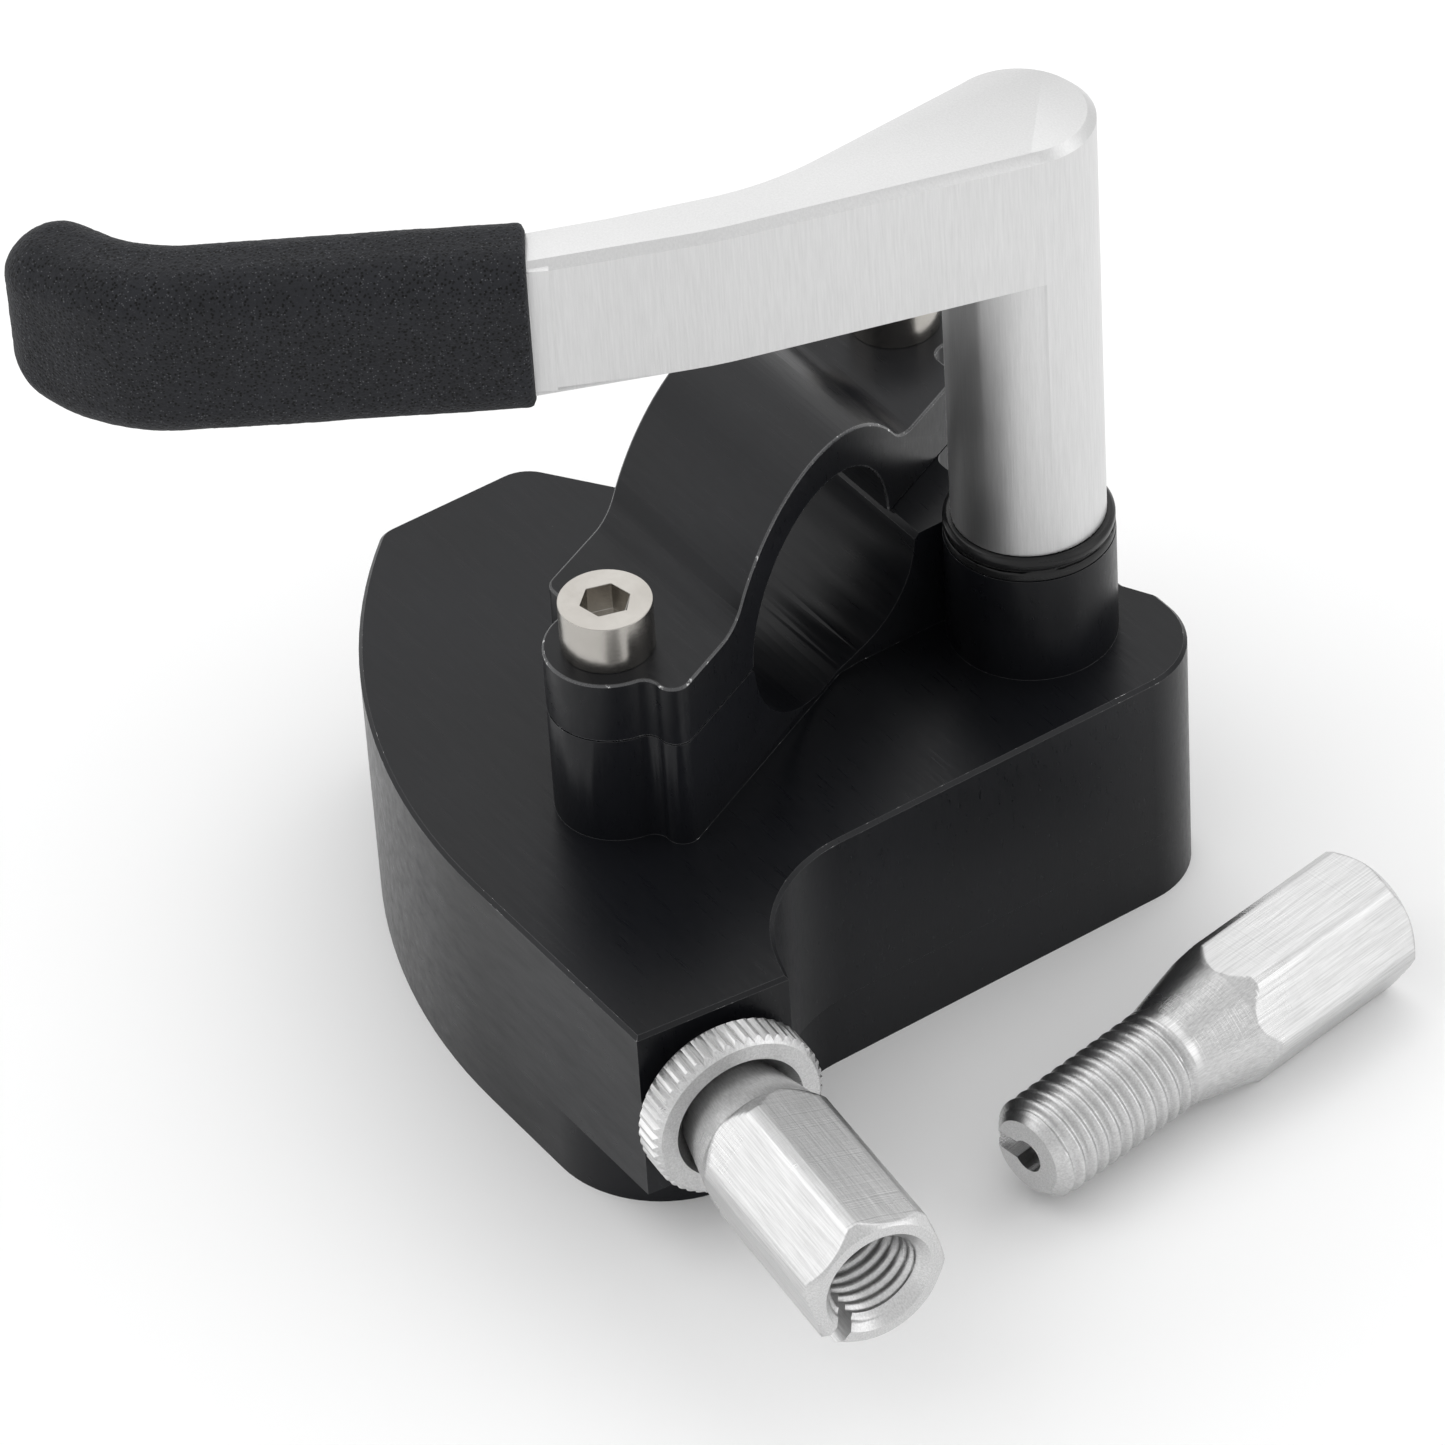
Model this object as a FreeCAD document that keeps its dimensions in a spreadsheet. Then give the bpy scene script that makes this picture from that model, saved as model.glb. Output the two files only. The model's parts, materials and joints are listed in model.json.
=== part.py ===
"""Finger throttle lever for a 22.2 mm handlebar, with its cable adapter and a spare adapter.

Frame: millimetres, +Z up.  The origin is on the lever's pivot axis at the flat underside of the
cover plate.  X runs along the handlebar and Y across it.
"""
import FreeCAD, Part
import Sketcher
import math
import os

Vector = FreeCAD.Vector
upAxis = Vector(0, 0, 1)

dimensions = {
    "barRadius": 11.1,            # 22.2 mm handlebar
    "barOffset": 19.9,            # bar axis to pivot axis, along -Y
    "coverHeight": 7.4,
    "housingHeight": 18.6,
    "saddleHeight": 11.5,
    "wallThickness": 3.0,
    "sweepRadius": 62.4,          # round left side of the housing
    "sweepCentreX": -2.0,
    "sweepCentreY": 2.0,
    "frontSide": 60.4,            # straight front side, along -Y
    "rightSide": 13.4,
    "leftSide": 48.65,
    "endSide": 11.6,
    "cavityRadius": 57.0,
    "hubPocketRadius": 8.0,
    "clampWidth": 20.17,          # along X
    "clampSkew": 0.466,           # shift in X for each mm of Y
    "clampReach": 23.3,           # bar axis to the shoulder of an ear
    "clampMiddle": -14.5,         # X of the clamp's middle at the bar axis
    "screwReach": 23.5,           # bar axis to a clamp screw
    "lobeRadius": 5.9,
    "lobeFillet": 1.5,
    "capThickness": 6.5,
    "domeRadius": 15.0,
    "domeFillet": 3.75,
    "clampScrewRadius": 2.5,
    "clampHeadRadius": 4.25,
    "clampHeadHeight": 5.0,
    "clampShankLength": 20.0,
    "clampHoleRadius": 2.75,
    "postBossRadius": 7.9,
    "bushFlangeRadius": 7.86,
    "bushFlangeHeight": 2.3,
    "bushSleeveRadius": 5.8,
    "spindleRadius": 4.0,
    "runningFit": 0.03,
    "sealRadius": 0.88,
    "postRadius": 7.1,
    "armBottom": 70.2,
    "armTop": 84.2,
    "gripHeight": 16.8,
    "gripHalfWidth": 4.67,
    "gripCornerRadius": 3.58,
    "gripBend": 17.0,             # middle of the grip, round its bend
    "coreBend": 12.0,
    "coreHalfWidth": 2.7,
    "coreHeight": 13.0,
    "cableRadius": 50.4,          # pivot axis to the cable
    "cableHeight": 17.0,
    "cableTilt": 6.0,             # degrees from +X towards -Y
    "exitDistance": 30.0,
    "threadRadius": 4.95,
    "threadPitch": 1.5,
    "threadDepth": 0.62,
    "threadLength": 18.0,
    "coneLength": 7.0,
    "barrelLength": 18.9,
    "barrelFlats": 12.7,
    "barrelRound": 7.05,
    "socketRadius": 4.0,
    "socketDepth": 13.0,
    "cableHoleRadius": 1.6,
    "slitWidth": 1.8,
    "nutRadius": 8.5,
    "nutWidth": 3.7,
    "crankThickness": 5.0,
    "crankHalfWidth": 4.8,
    "crankWaist": 3.0,            # half width beside the hub
    "crankReach": 53.5,
    "crankHubRadius": 7.4,
    "lowerHubRadius": 6.1,
    "nippleRadius": 3.0,
    "springRadius": 7.0,
    "springWireRadius": 0.6,
    "springPitch": 1.36,
    "stopPinRadius": 2.0,
    "leverSwing": 42.0,
    "leverRest": 57.5,            # turn of the lever's own frame at rest
    "coverScrewRadius": 1.25,
    "coverHeadRadius": 2.3,
    "coverHeadHeight": 1.4,
    "coverScrewLength": 12.0,
    "dowelRadius": 1.5,
}

doc = FreeCAD.newDocument("finger_throttle")
sheet = doc.addObject("Spreadsheet::Sheet", "dims")
for row, (alias, value) in enumerate(dimensions.items(), start=1):
    sheet.set("A%d" % row, alias)
    sheet.set("B%d" % row, str(value))
    sheet.setAlias("B%d" % row, alias)
doc.recompute()


def cell(alias):
    """Value of one driving dimension, read from the sheet."""
    return float(sheet.get(alias))


# Heights of the stacked faces; an expression in the sheet's words ends in Cells.
topFace = cell("coverHeight") + cell("housingHeight")
partingHeight = topFace + cell("saddleHeight")
flangeTop = partingHeight + cell("bushFlangeHeight")
ceilingHeight = topFace - cell("wallThickness")
topFaceCells = "dims.coverHeight + dims.housingHeight"
partingCells = topFaceCells + " + dims.saddleHeight"
cavityCells = "dims.housingHeight - dims.wallThickness"
coreCells = "(dims.armTop + dims.armBottom - dims.coreHeight) / 2"
throughAll = "120"

# The cable's line, level and tilted from X; the crank stands square to it at rest.
barY = -cell("barOffset")
swing = math.radians(cell("leverSwing"))
cableTilt = math.radians(cell("cableTilt"))
cableDirection = Vector(math.cos(cableTilt), -math.sin(cableTilt), 0)
cableFoot = Vector(cableDirection.y, -cableDirection.x, 0) * cell("cableRadius")
crankAngle = math.atan2(cableFoot.y, cableFoot.x)
exitCentre = cableFoot + cableDirection * cell("exitDistance")
exitAcross = Vector(-cableDirection.y, cableDirection.x, 0)
sweepCentre = Vector(cell("sweepCentreX"), cell("sweepCentreY"), 0)
notchY = -0.9                     # side of the notch between the clamp's far ear and the post


def clampX(reach):
    """X of the skewed clamp's middle line at a distance along Y from the bar axis."""
    return cell("clampMiddle") - cell("clampSkew") * reach


def crankPoint(radius, offset, angle=crankAngle):
    """Point of the crank by its radius and its offset to the left of the crank's line."""
    along = Vector(math.cos(angle), math.sin(angle), 0)
    across = Vector(-along.y, along.x, 0)
    return along * radius + across * offset


# Screws, dowels, pins and their holes.
screwPlaces = [(clampX(s * cell("screwReach")), barY + s * cell("screwReach")) for s in (-1, 1)]
coverScrewPlaces = [(10.6, -24.0), (9.4, -40.5), (-22.4, -54.1), (-44.0, -40.4), (-38.6, -20.4), (-19.2, 0.6)]
dowelPlaces = [(10.9, -9.0), (-34.0, -48.3)]
dowelLength = 7.6
dowelDepth = "4"                  # hole in either half
coverTapDepth = "5.5"
ceilingBore = 1.6                 # depth of a stop pin's seat above the cavity
stopOffset = cell("crankHalfWidth") + cell("stopPinRadius") + 0.05
closedStop = crankPoint(30.0, stopOffset)
openStop = crankPoint(40.0, -stopOffset, crankAngle - swing)
anchorPlace = (5.15, -11.0)
anchorRadius = 1.25
smallKey = 1.15                   # circumradius of a 2 mm hexagon key
clampKey = 4.0 / math.sqrt(3)     # circumradius of a 4 mm hexagon key

# The pivot's stack, upwards from the cover plate.
lowerBushRadius = 5.4
lowerBushBottom = 3.0
lowerBushTop = cell("coverHeight") + 2.6
spindleBottom = lowerBushBottom + 0.3
spindleTop = 64.0
clipBottom = lowerBushTop + 0.3
clipThickness = 0.8
washerBottom = clipBottom + clipThickness
washerThickness = 0.8
hubBottom = washerBottom + washerThickness + 0.05
plateBottom = cell("cableHeight") - cell("crankThickness") / 2
crankPinRadius = 1.0
crankPinHeight = plateBottom + cell("crankThickness") + 1.6
crossHoleLength = 20.0
springTurns = 3 + (crankAngle % (2 * math.pi)) / (2 * math.pi)
springBottom = cell("coverHeight") + 0.9

# Lever and grip, in the lever's own frame: the arm runs along -X.
gripStart = -44.2
gripPath = [(gripStart, -15.44), (-77.5, -15.44), (-83.6, -10.8)]
corePath = [(gripStart + 3.0, -15.2), (-77.5, -15.2), (-81.2, -12.4)]
gripMiddle = (cell("armBottom") + cell("armTop")) / 2
postBottom = flangeTop + 0.1
grubRadius = 2.0
grubHeight = 54.0

# Cable adapters and locknut, turned about their own X axis.
adapterLength = cell("threadLength") + cell("coneLength") + cell("barrelLength")
nutBore = cell("threadRadius") + 0.05


def roundedChain(corners):
    """Lines through corners (x, y, radius), with a tangent arc at each inner corner."""
    edges = []
    start = Vector(corners[0][0], corners[0][1], 0)
    for index in range(1, len(corners) - 1):
        corner = Vector(corners[index][0], corners[index][1], 0)
        radius = corners[index][2]
        if radius == 0:
            edges.append(Part.LineSegment(start, corner))
            start = corner
            continue
        before = (Vector(corners[index - 1][0], corners[index - 1][1], 0) - corner).normalize()
        after = (Vector(corners[index + 1][0], corners[index + 1][1], 0) - corner).normalize()
        half = before.getAngle(after) / 2
        reach = radius / math.tan(half)
        bisector = (before + after).normalize()
        middle = corner + bisector * (radius / math.sin(half) - radius)
        edges.append(Part.LineSegment(start, corner + before * reach))
        edges.append(Part.Arc(corner + before * reach, middle, corner + after * reach))
        start = corner + after * reach
    edges.append(Part.LineSegment(start, Vector(corners[-1][0], corners[-1][1], 0)))
    return edges


def roundedLoop(corners):
    """Closed outline: the chain starts and ends halfway along its first side."""
    first = corners[0]
    last = corners[-1]
    middle = ((first[0] + last[0]) / 2, (first[1] + last[1]) / 2)
    return roundedChain([middle] + list(corners) + [middle])


def arcAbout(centre, radius, startAngle, endAngle):
    """Arc by its centre, radius and its two angles in radians."""
    angles = (startAngle, (startAngle + endAngle) / 2, endAngle)
    points = [centre + Vector(math.cos(a), math.sin(a), 0) * radius for a in angles]
    return Part.Arc(*points)


def lobe(side):
    """Round ear about a clamp screw, blended into its shoulder; side is -1 near, +1 far."""
    radius = cell("lobeRadius")
    fillet = cell("lobeFillet")
    centre = Vector(clampX(side * cell("screwReach")), barY + side * cell("screwReach"), 0)
    shoulder = barY + side * cell("clampReach")
    rise = (shoulder - centre.y) * side + fillet
    run = math.sqrt((radius + fillet) ** 2 - rise ** 2)
    lean = math.atan2(rise, run)
    edges = []
    ends = []
    for hand in (1, -1):
        filletCentre = centre + Vector(hand * run, side * rise, 0)
        touch = centre + Vector(hand * math.cos(lean), side * math.sin(lean), 0) * radius
        foot = filletCentre - Vector(0, side * fillet, 0)
        inner = (foot - filletCentre).normalize() + (touch - filletCentre).normalize()
        edges.append(Part.Arc(foot, filletCentre + inner.normalize() * fillet, touch))
        ends.append((foot, touch))
    tip = centre + Vector(0, side * radius, 0)
    edges.append(Part.Arc(ends[0][1], tip, ends[1][1]))
    return edges, (ends[0][0].x, ends[0][0].y), (ends[1][0].x, ends[1][0].y)


def clampCorner(hand, side, radius=1.6):
    """Corner of the clamp's plan; hand is +1 on the lever side, side is -1 near or +1 far."""
    reach = side * cell("clampReach")
    return (clampX(reach) + hand * cell("clampWidth") / 2, barY + reach, radius)


def onClampFace(hand, y, radius):
    """Point on one skewed face of the clamp at a given Y."""
    return (clampX(y - barY) + hand * cell("clampWidth") / 2, y, radius)


def newBody(label):
    body = doc.addObject("PartDesign::Body", label)
    body.Label = label
    return body


def newSketch(body, plane, geometry, offset=None):
    """Sketch on one of the body's own origin planes; offset is an expression for its height."""
    sketch = body.newObject("Sketcher::SketchObject", body.Name + "_sketch")
    support = next(f for f in body.Origin.OriginFeatures if f.Role == plane)
    sketch.AttachmentSupport = [(support, "")]
    sketch.MapMode = "FlatFace"
    if offset is not None:
        sketch.setExpression("AttachmentOffset.Base.z", offset)
    sketch.addGeometry(geometry, False)
    return sketch


def circleSketch(body, plane, centres, radiusCell, offset=None):
    """Sketch of equal circles whose radius is bound to the sheet."""
    circles = [Part.Circle(Vector(x, y, 0), upAxis, cell(radiusCell)) for x, y in centres]
    sketch = newSketch(body, plane, circles, offset)
    for index in range(len(circles)):
        number = sketch.addConstraint(Sketcher.Constraint("Radius", index, cell(radiusCell)))
        sketch.setExpression("Constraints[%d]" % number, "dims." + radiusCell)
    return sketch


def pad(body, sketch, length, midplane=False):
    feature = body.newObject("PartDesign::Pad", body.Name + "_pad")
    feature.Profile = sketch
    feature.setExpression("Length", length)
    if midplane:
        feature.SideType = "Symmetric"
    return feature


def pocket(body, sketch, length, reverse=False, midplane=False):
    """Pocket that must remove material; length is an expression."""
    before = volumeOf(body)
    feature = body.newObject("PartDesign::Pocket", body.Name + "_pocket")
    feature.Profile = sketch
    feature.Type = "Length"
    feature.setExpression("Length", length)
    feature.Reversed = reverse
    if midplane:
        feature.SideType = "Symmetric"
    doc.recompute()
    if not volumeOf(body) < before - 0.01:
        raise RuntimeError(feature.Name + " removed nothing")
    return feature


def revolve(body, plane, profile, axis):
    """Revolution of a closed profile about one of the sketch's own axes."""
    sketch = newSketch(body, plane, profile)
    feature = body.newObject("PartDesign::Revolution", body.Name + "_revolution")
    feature.Profile = sketch
    feature.ReferenceAxis = (sketch, [axis])
    feature.Angle = 360
    return feature


def polygon(points):
    """Closed outline of straight lines."""
    vectors = [Vector(p[0], p[1], 0) for p in points]
    return [Part.LineSegment(vectors[i - 1], vectors[i]) for i in range(len(vectors))]


def volumeOf(body):
    doc.recompute()
    return body.Shape.Volume


def edgesWhere(feature, test):
    """Names of the edges of a feature whose every sampled point passes a test."""
    names = []
    for number, edge in enumerate(feature.Shape.Edges, start=1):
        if all(test(point) for point in edge.discretize(4)):
            names.append("Edge%d" % number)
    return names


def isLevel(*heights):
    """Test for points that lie at one of some heights."""
    return lambda point: min(abs(point.z - height) for height in heights) < 0.01


def dress(body, kind, test, sizeName, size):
    """Fillet or chamfer on the edges of the body's last feature that pass a test."""
    doc.recompute()
    base = body.Tip
    feature = body.newObject("PartDesign::" + kind, body.Name + "_" + kind.lower())
    feature.Base = (base, edgesWhere(base, test))
    setattr(feature, sizeName, size)
    doc.recompute()
    return feature


def place(feature, position, turn=0.0, axis=upAxis):
    feature.Placement = FreeCAD.Placement(position, FreeCAD.Rotation(axis, turn))
    return feature


def cylinder(name, radius, height, base=Vector()):
    """Part cylinder whose radius and height are expressions."""
    shape = doc.addObject("Part::Cylinder", name)
    shape.setExpression("Radius", radius)
    shape.setExpression("Height", height)
    return place(shape, base)


def fuse(name, shapes):
    union = doc.addObject("Part::MultiFuse", name)
    union.Shapes = shapes
    return union


def cut(name, base, tool):
    difference = doc.addObject("Part::Cut", name)
    difference.Base = base
    difference.Tool = tool
    return difference


def group(label, members):
    """One node made of equal separate solids."""
    compound = doc.addObject("Part::Compound", label)
    compound.Label = label
    compound.Links = members
    return compound


def exitPoint(y):
    """Point of the cable exit face at a given Y."""
    return exitCentre + exitAcross * ((y - exitCentre.y) / exitAcross.y)


def sweepEdges():
    """Round left side, from the left corner to the straight front side."""
    cornerRadius = 2.5
    cornerX = -cell("leftSide") + cornerRadius
    drop = math.sqrt((cell("sweepRadius") - cornerRadius) ** 2 - (cornerX - sweepCentre.x) ** 2)
    corner = Vector(cornerX, sweepCentre.y - drop, 0)
    angle = math.atan2(-drop, cornerX - sweepCentre.x)
    small = arcAbout(corner, cornerRadius, -math.pi, angle)
    large = arcAbout(sweepCentre, cell("sweepRadius"), angle, -math.pi / 2)
    return [small, large], (-cell("leftSide"), corner.y)


def backEdges(right):
    """Outline from the right-hand start, round the pivot end and the far ear, to the left side."""
    farLobe, lobeRight, lobeLeft = lobe(1)
    sweep, leftStart = sweepEdges()
    side = cell("rightSide")
    end = cell("endSide")
    pivotEnd = [(side, end, 8.0), (3.4, end, 1.0), (0.3, 10.0, 1.0), (-9.7, 10.0, 8.7), (-9.7, notchY, 1.9)]
    notch = [onClampFace(1, notchY, 1.5), clampCorner(1, 1), lobeRight]
    shoulder = [lobeLeft, clampCorner(-1, 1), onClampFace(-1, -10.5, 7.0), (-cell("leftSide"), -23.8, 4.0),
                leftStart]
    return roundedChain(right + pivotEnd + notch) + farLobe + roundedChain(shoulder) + sweep


def frontPoint():
    return Vector(sweepCentre.x, -cell("frontSide"), 0)


def housingOutline():
    nearEnd = exitPoint(-cell("frontSide"))
    farEnd = exitPoint(-45.3)
    right = [(farEnd.x, farEnd.y), (cell("rightSide"), -41.3, 14.0)]
    return backEdges(right) + [Part.LineSegment(frontPoint(), nearEnd), Part.LineSegment(nearEnd, farEnd)]


def coverOutline():
    """As the housing, but rounded off under the cable exit."""
    right = [(9.0, -cell("frontSide")), (21.0, -cell("frontSide"), 11.5), (21.0, -43.6, 5.0),
             (cell("rightSide"), -41.3, 11.0)]
    return backEdges(right) + [Part.LineSegment(frontPoint(), Vector(*right[0], 0))]


def clampOutline():
    nearLobe, nearRight, nearLeft = lobe(-1)
    farLobe, farRight, farLeft = lobe(1)
    front = roundedChain([nearRight, clampCorner(1, -1), clampCorner(1, 1), farRight])
    back = roundedChain([farLeft, clampCorner(-1, 1), clampCorner(-1, -1), nearLeft])
    return nearLobe + front + farLobe + back


def saddleOutline():
    nearLobe, nearRight, nearLeft = lobe(-1)
    farLobe, farRight, farLeft = lobe(1)
    blockX = -5.6
    front = roundedChain([nearRight, clampCorner(1, -1), onClampFace(1, -17.9, 2.5), (blockX, -15.6, 1.0),
                          (blockX, notchY, 0.5), onClampFace(1, notchY, 1.5), clampCorner(1, 1), farRight])
    back = roundedChain([farLeft, clampCorner(-1, 1), clampCorner(-1, -1), nearLeft])
    return nearLobe + front + farLobe + back


def cavityOutline():
    """Room for the crank's swing, with a round pocket about the pivot."""
    radius = cell("cavityRadius")
    hub = cell("hubPocketRadius")
    left = -cell("leftSide") + cell("wallThickness") + 0.2
    rightX = 5.0
    startAngle = -math.acos(rightX / radius)
    endAngle = -math.pi + math.acos(-left / radius)
    start = (rightX, radius * math.sin(startAngle))
    end = (left, radius * math.sin(endAngle))
    hubCorner = hub - 0.05
    corners = [start, (rightX, -35.5, 2.0), (hub, -32.5, 2.0), (hub, hub, hubCorner), (-hub, hub, hubCorner),
               (-hub, -2.4, 1.0), (-13.0, -3.2, 3.0), (-24.0, -11.5, 3.0), (-41.0, -24.5, 2.0),
               (left, -27.6, 1.5), end]
    return roundedChain(corners) + [arcAbout(Vector(), radius, endAngle, startAngle)]


def isBoreEdge(point):
    """Test for the two edges where the bar's bore meets the parting face."""
    return isLevel(partingHeight)(point) and abs(abs(point.y - barY) - cell("barRadius")) < 0.01


def cutBar(body):
    """Bore for the handlebar, along X at the parting height."""
    circle = Part.Circle(Vector(barY, partingHeight, 0), upAxis, cell("barRadius"))
    pocket(body, newSketch(body, "YZ_Plane", [circle]), throughAll, midplane=True)


def makeHousing():
    body = newBody("housing")
    main = newSketch(body, "XY_Plane", housingOutline(), "dims.coverHeight")
    pad(body, main, "dims.housingHeight")
    dress(body, "Chamfer", isLevel(topFace), "Size", 0.35)
    overlap = 1.0
    saddle = newSketch(body, "XY_Plane", saddleOutline(), topFaceCells + " - %s" % overlap)
    pad(body, saddle, "dims.saddleHeight + %s" % overlap)
    boss = circleSketch(body, "XY_Plane", [(0, 0)], "postBossRadius", topFaceCells + " - %s" % overlap)
    pad(body, boss, "dims.saddleHeight + %s" % overlap)
    cavity = newSketch(body, "XY_Plane", cavityOutline(), "dims.coverHeight")
    pocket(body, cavity, cavityCells, reverse=True)
    cutBar(body)
    dress(body, "Chamfer", isBoreEdge, "Size", 0.5)
    bushSeat = circleSketch(body, "XY_Plane", [(0, 0)], "bushSleeveRadius", "dims.coverHeight")
    pocket(body, bushSeat, "dims.housingHeight + dims.saddleHeight + 1", reverse=True)
    screwHoles = circleSketch(body, "XY_Plane", screwPlaces, "clampScrewRadius", partingCells)
    pocket(body, screwHoles, "dims.clampShankLength - dims.capThickness + 0.6")
    coverHoles = circleSketch(body, "XY_Plane", coverScrewPlaces, "coverScrewRadius", "dims.coverHeight")
    pocket(body, coverHoles, coverTapDepth, reverse=True)
    dowelHoles = circleSketch(body, "XY_Plane", dowelPlaces, "dowelRadius", "dims.coverHeight")
    pocket(body, dowelHoles, dowelDepth, reverse=True)
    stops = [(p.x, p.y) for p in (closedStop, openStop)]
    stopHoles = circleSketch(body, "XY_Plane", stops, "stopPinRadius", "dims.coverHeight")
    pocket(body, stopHoles, cavityCells + " + %s" % ceilingBore, reverse=True)
    boreCutter = cylinder("exit_bore", "dims.threadRadius + 0.05", "dims.exitDistance + 1")
    boreCutter.Placement = FreeCAD.Placement(
        cableFoot + cableDirection * 8.0 + Vector(0, 0, cell("cableHeight")),
        FreeCAD.Rotation(upAxis, cableDirection))
    body.Label = "housing_blank"
    housing = cut("housing", body, boreCutter)
    housing.Label = "housing"
    return housing


def makeCover():
    body = newBody("cover_plate")
    pad(body, newSketch(body, "XY_Plane", coverOutline()), "dims.coverHeight")
    bossHeight = 2.6
    boss = circleSketch(body, "XY_Plane", [(0, 0)], "lowerHubRadius", "dims.coverHeight - 0.5")
    pad(body, boss, "%s + 0.5" % bossHeight)
    bearing = newSketch(body, "XY_Plane", [Part.Circle(Vector(), upAxis, lowerBushRadius)], "3")
    pocket(body, bearing, throughAll, reverse=True)
    holes = circleSketch(body, "XY_Plane", coverScrewPlaces, "coverScrewRadius")
    pocket(body, holes, throughAll, reverse=True)
    dowels = circleSketch(body, "XY_Plane", dowelPlaces, "dowelRadius", "dims.coverHeight")
    pocket(body, dowels, dowelDepth)
    anchor = Part.Circle(Vector(*anchorPlace, 0), upAxis, anchorRadius)
    pocket(body, newSketch(body, "XY_Plane", [anchor], "dims.coverHeight"), dowelDepth)
    body.Label = "cover_blank"
    countersinks = [coverHead("countersink%d" % i, xy, 0.03) for i, xy in enumerate(coverScrewPlaces)]
    cover = cut("cover_plate", body, fuse("countersinks", countersinks))
    cover.Label = "cover_plate"
    return cover


def coverHead(name, xy, margin=0.0):
    """Cone of a countersunk head, flush with the underside."""
    cone = doc.addObject("Part::Cone", name)
    cone.setExpression("Radius1", "dims.coverHeadRadius + %s" % margin)
    cone.setExpression("Radius2", "dims.coverScrewRadius + %s" % margin)
    cone.setExpression("Height", "dims.coverHeadHeight")
    return place(cone, Vector(xy[0], xy[1], 0))


def hexagonKey(name, circumradius, depth, base, turn=0.0):
    """Cutter for a hexagon socket."""
    key = doc.addObject("Part::Prism", name)
    key.Polygon = 6
    key.Circumradius = circumradius
    key.Height = depth
    return place(key, base, turn)


def makeCoverScrews():
    screws = []
    for number, xy in enumerate(coverScrewPlaces):
        head = coverHead("cover_head%d" % number, xy)
        shank = cylinder("cover_shank%d" % number, "dims.coverScrewRadius", "dims.coverScrewLength",
                         Vector(xy[0], xy[1], 0.0))
        key = hexagonKey("cover_key%d" % number, smallKey, 1.2, Vector(xy[0], xy[1], 0.0))
        screws.append(cut("cover_screw%d" % number, fuse("cover_blank%d" % number, [head, shank]), key))
    return group("cover_screws", screws)


def makeDowels():
    bottom = cell("coverHeight") - dowelLength / 2
    pins = [cylinder("cover_dowel%d" % i, "dims.dowelRadius", str(dowelLength), Vector(x, y, bottom))
            for i, (x, y) in enumerate(dowelPlaces)]
    return group("cover_dowels", pins)


def makeClampCap():
    body = newBody("clamp_cap")
    dome = cell("domeRadius")
    fillet = cell("domeFillet")
    ear = cell("capThickness")
    run = math.sqrt((dome + fillet) ** 2 - (ear + fillet) ** 2)
    touch = math.atan2(ear + fillet, run)
    bottom = partingHeight
    half = 32.0
    shoulder = bottom + ear
    corners = [Vector(barY + y, z, 0) for y, z in ((-run, shoulder), (-half, shoulder), (-half, bottom),
                                                   (half, bottom), (half, shoulder), (run, shoulder))]
    edges = [Part.LineSegment(start, end) for start, end in zip(corners, corners[1:])]
    centre = Vector(barY, bottom, 0)
    edges.append(arcAbout(centre + Vector(run, ear + fillet, 0), fillet, -math.pi / 2, touch - math.pi))
    edges.append(arcAbout(centre, dome, touch, math.pi - touch))
    edges.append(arcAbout(centre + Vector(-run, ear + fillet, 0), fillet, -touch, -math.pi / 2))
    pad(body, newSketch(body, "YZ_Plane", edges), throughAll, midplane=True)
    frame = polygon([(-80, -80), (60, -80), (60, 60), (-80, 60)])
    trim = newSketch(body, "XY_Plane", frame + clampOutline(), partingCells + " - 1")
    pocket(body, trim, throughAll, reverse=True)
    cutBar(body)
    holes = circleSketch(body, "XY_Plane", screwPlaces, "clampHoleRadius", partingCells + " - 1")
    pocket(body, holes, throughAll, reverse=True)
    return body


def makeClampScrews():
    screws = []
    headBase = partingHeight + cell("capThickness")
    for number, (x, y) in enumerate(screwPlaces):
        shank = cylinder("clamp_shank%d" % number, "dims.clampScrewRadius", "dims.clampShankLength + 0.5",
                         Vector(x, y, headBase - cell("clampShankLength")))
        head = cylinder("clamp_head%d" % number, "dims.clampHeadRadius", "dims.clampHeadHeight",
                        Vector(x, y, headBase))
        socketBottom = Vector(x, y, headBase + cell("clampHeadHeight") - 2.8)
        key = hexagonKey("clamp_key%d" % number, clampKey, 4.0, socketBottom, 12.0)
        screws.append(cut("clamp_screw%d" % number, fuse("clamp_blank%d" % number, [shank, head]), key))
    return group("clamp_screws", screws)


def ring(label, profile):
    """Body turned about Z from a profile of (radius, height) points."""
    body = newBody(label)
    revolve(body, "XZ_Plane", polygon(profile), "V_Axis")
    return body


def makeUpperBush():
    inner = cell("spindleRadius") + cell("runningFit")
    sleeve = cell("bushSleeveRadius")
    flange = cell("bushFlangeRadius")
    glandRadius = 6.0
    glandBottom = flangeTop - 1.9
    grooveMiddle = partingHeight + 1.1
    bottom = ceilingHeight + 0.2
    return ring("upper_bush", [
        (inner, bottom), (sleeve, bottom), (sleeve, partingHeight), (flange, partingHeight),
        (flange, grooveMiddle - 0.2), (flange - 0.25, grooveMiddle), (flange, grooveMiddle + 0.2),
        (flange, flangeTop - 0.35), (flange - 0.35, flangeTop), (glandRadius, flangeTop),
        (glandRadius, glandBottom), (inner, glandBottom)])


def makeSpindleSeal():
    seal = doc.addObject("Part::Torus", "spindle_seal")
    seal.Label = "spindle_seal"
    seal.setExpression("Radius1", "dims.spindleRadius + dims.runningFit + dims.sealRadius + 0.02")
    seal.setExpression("Radius2", "dims.sealRadius")
    return place(seal, Vector(0, 0, flangeTop - 0.98))


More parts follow.
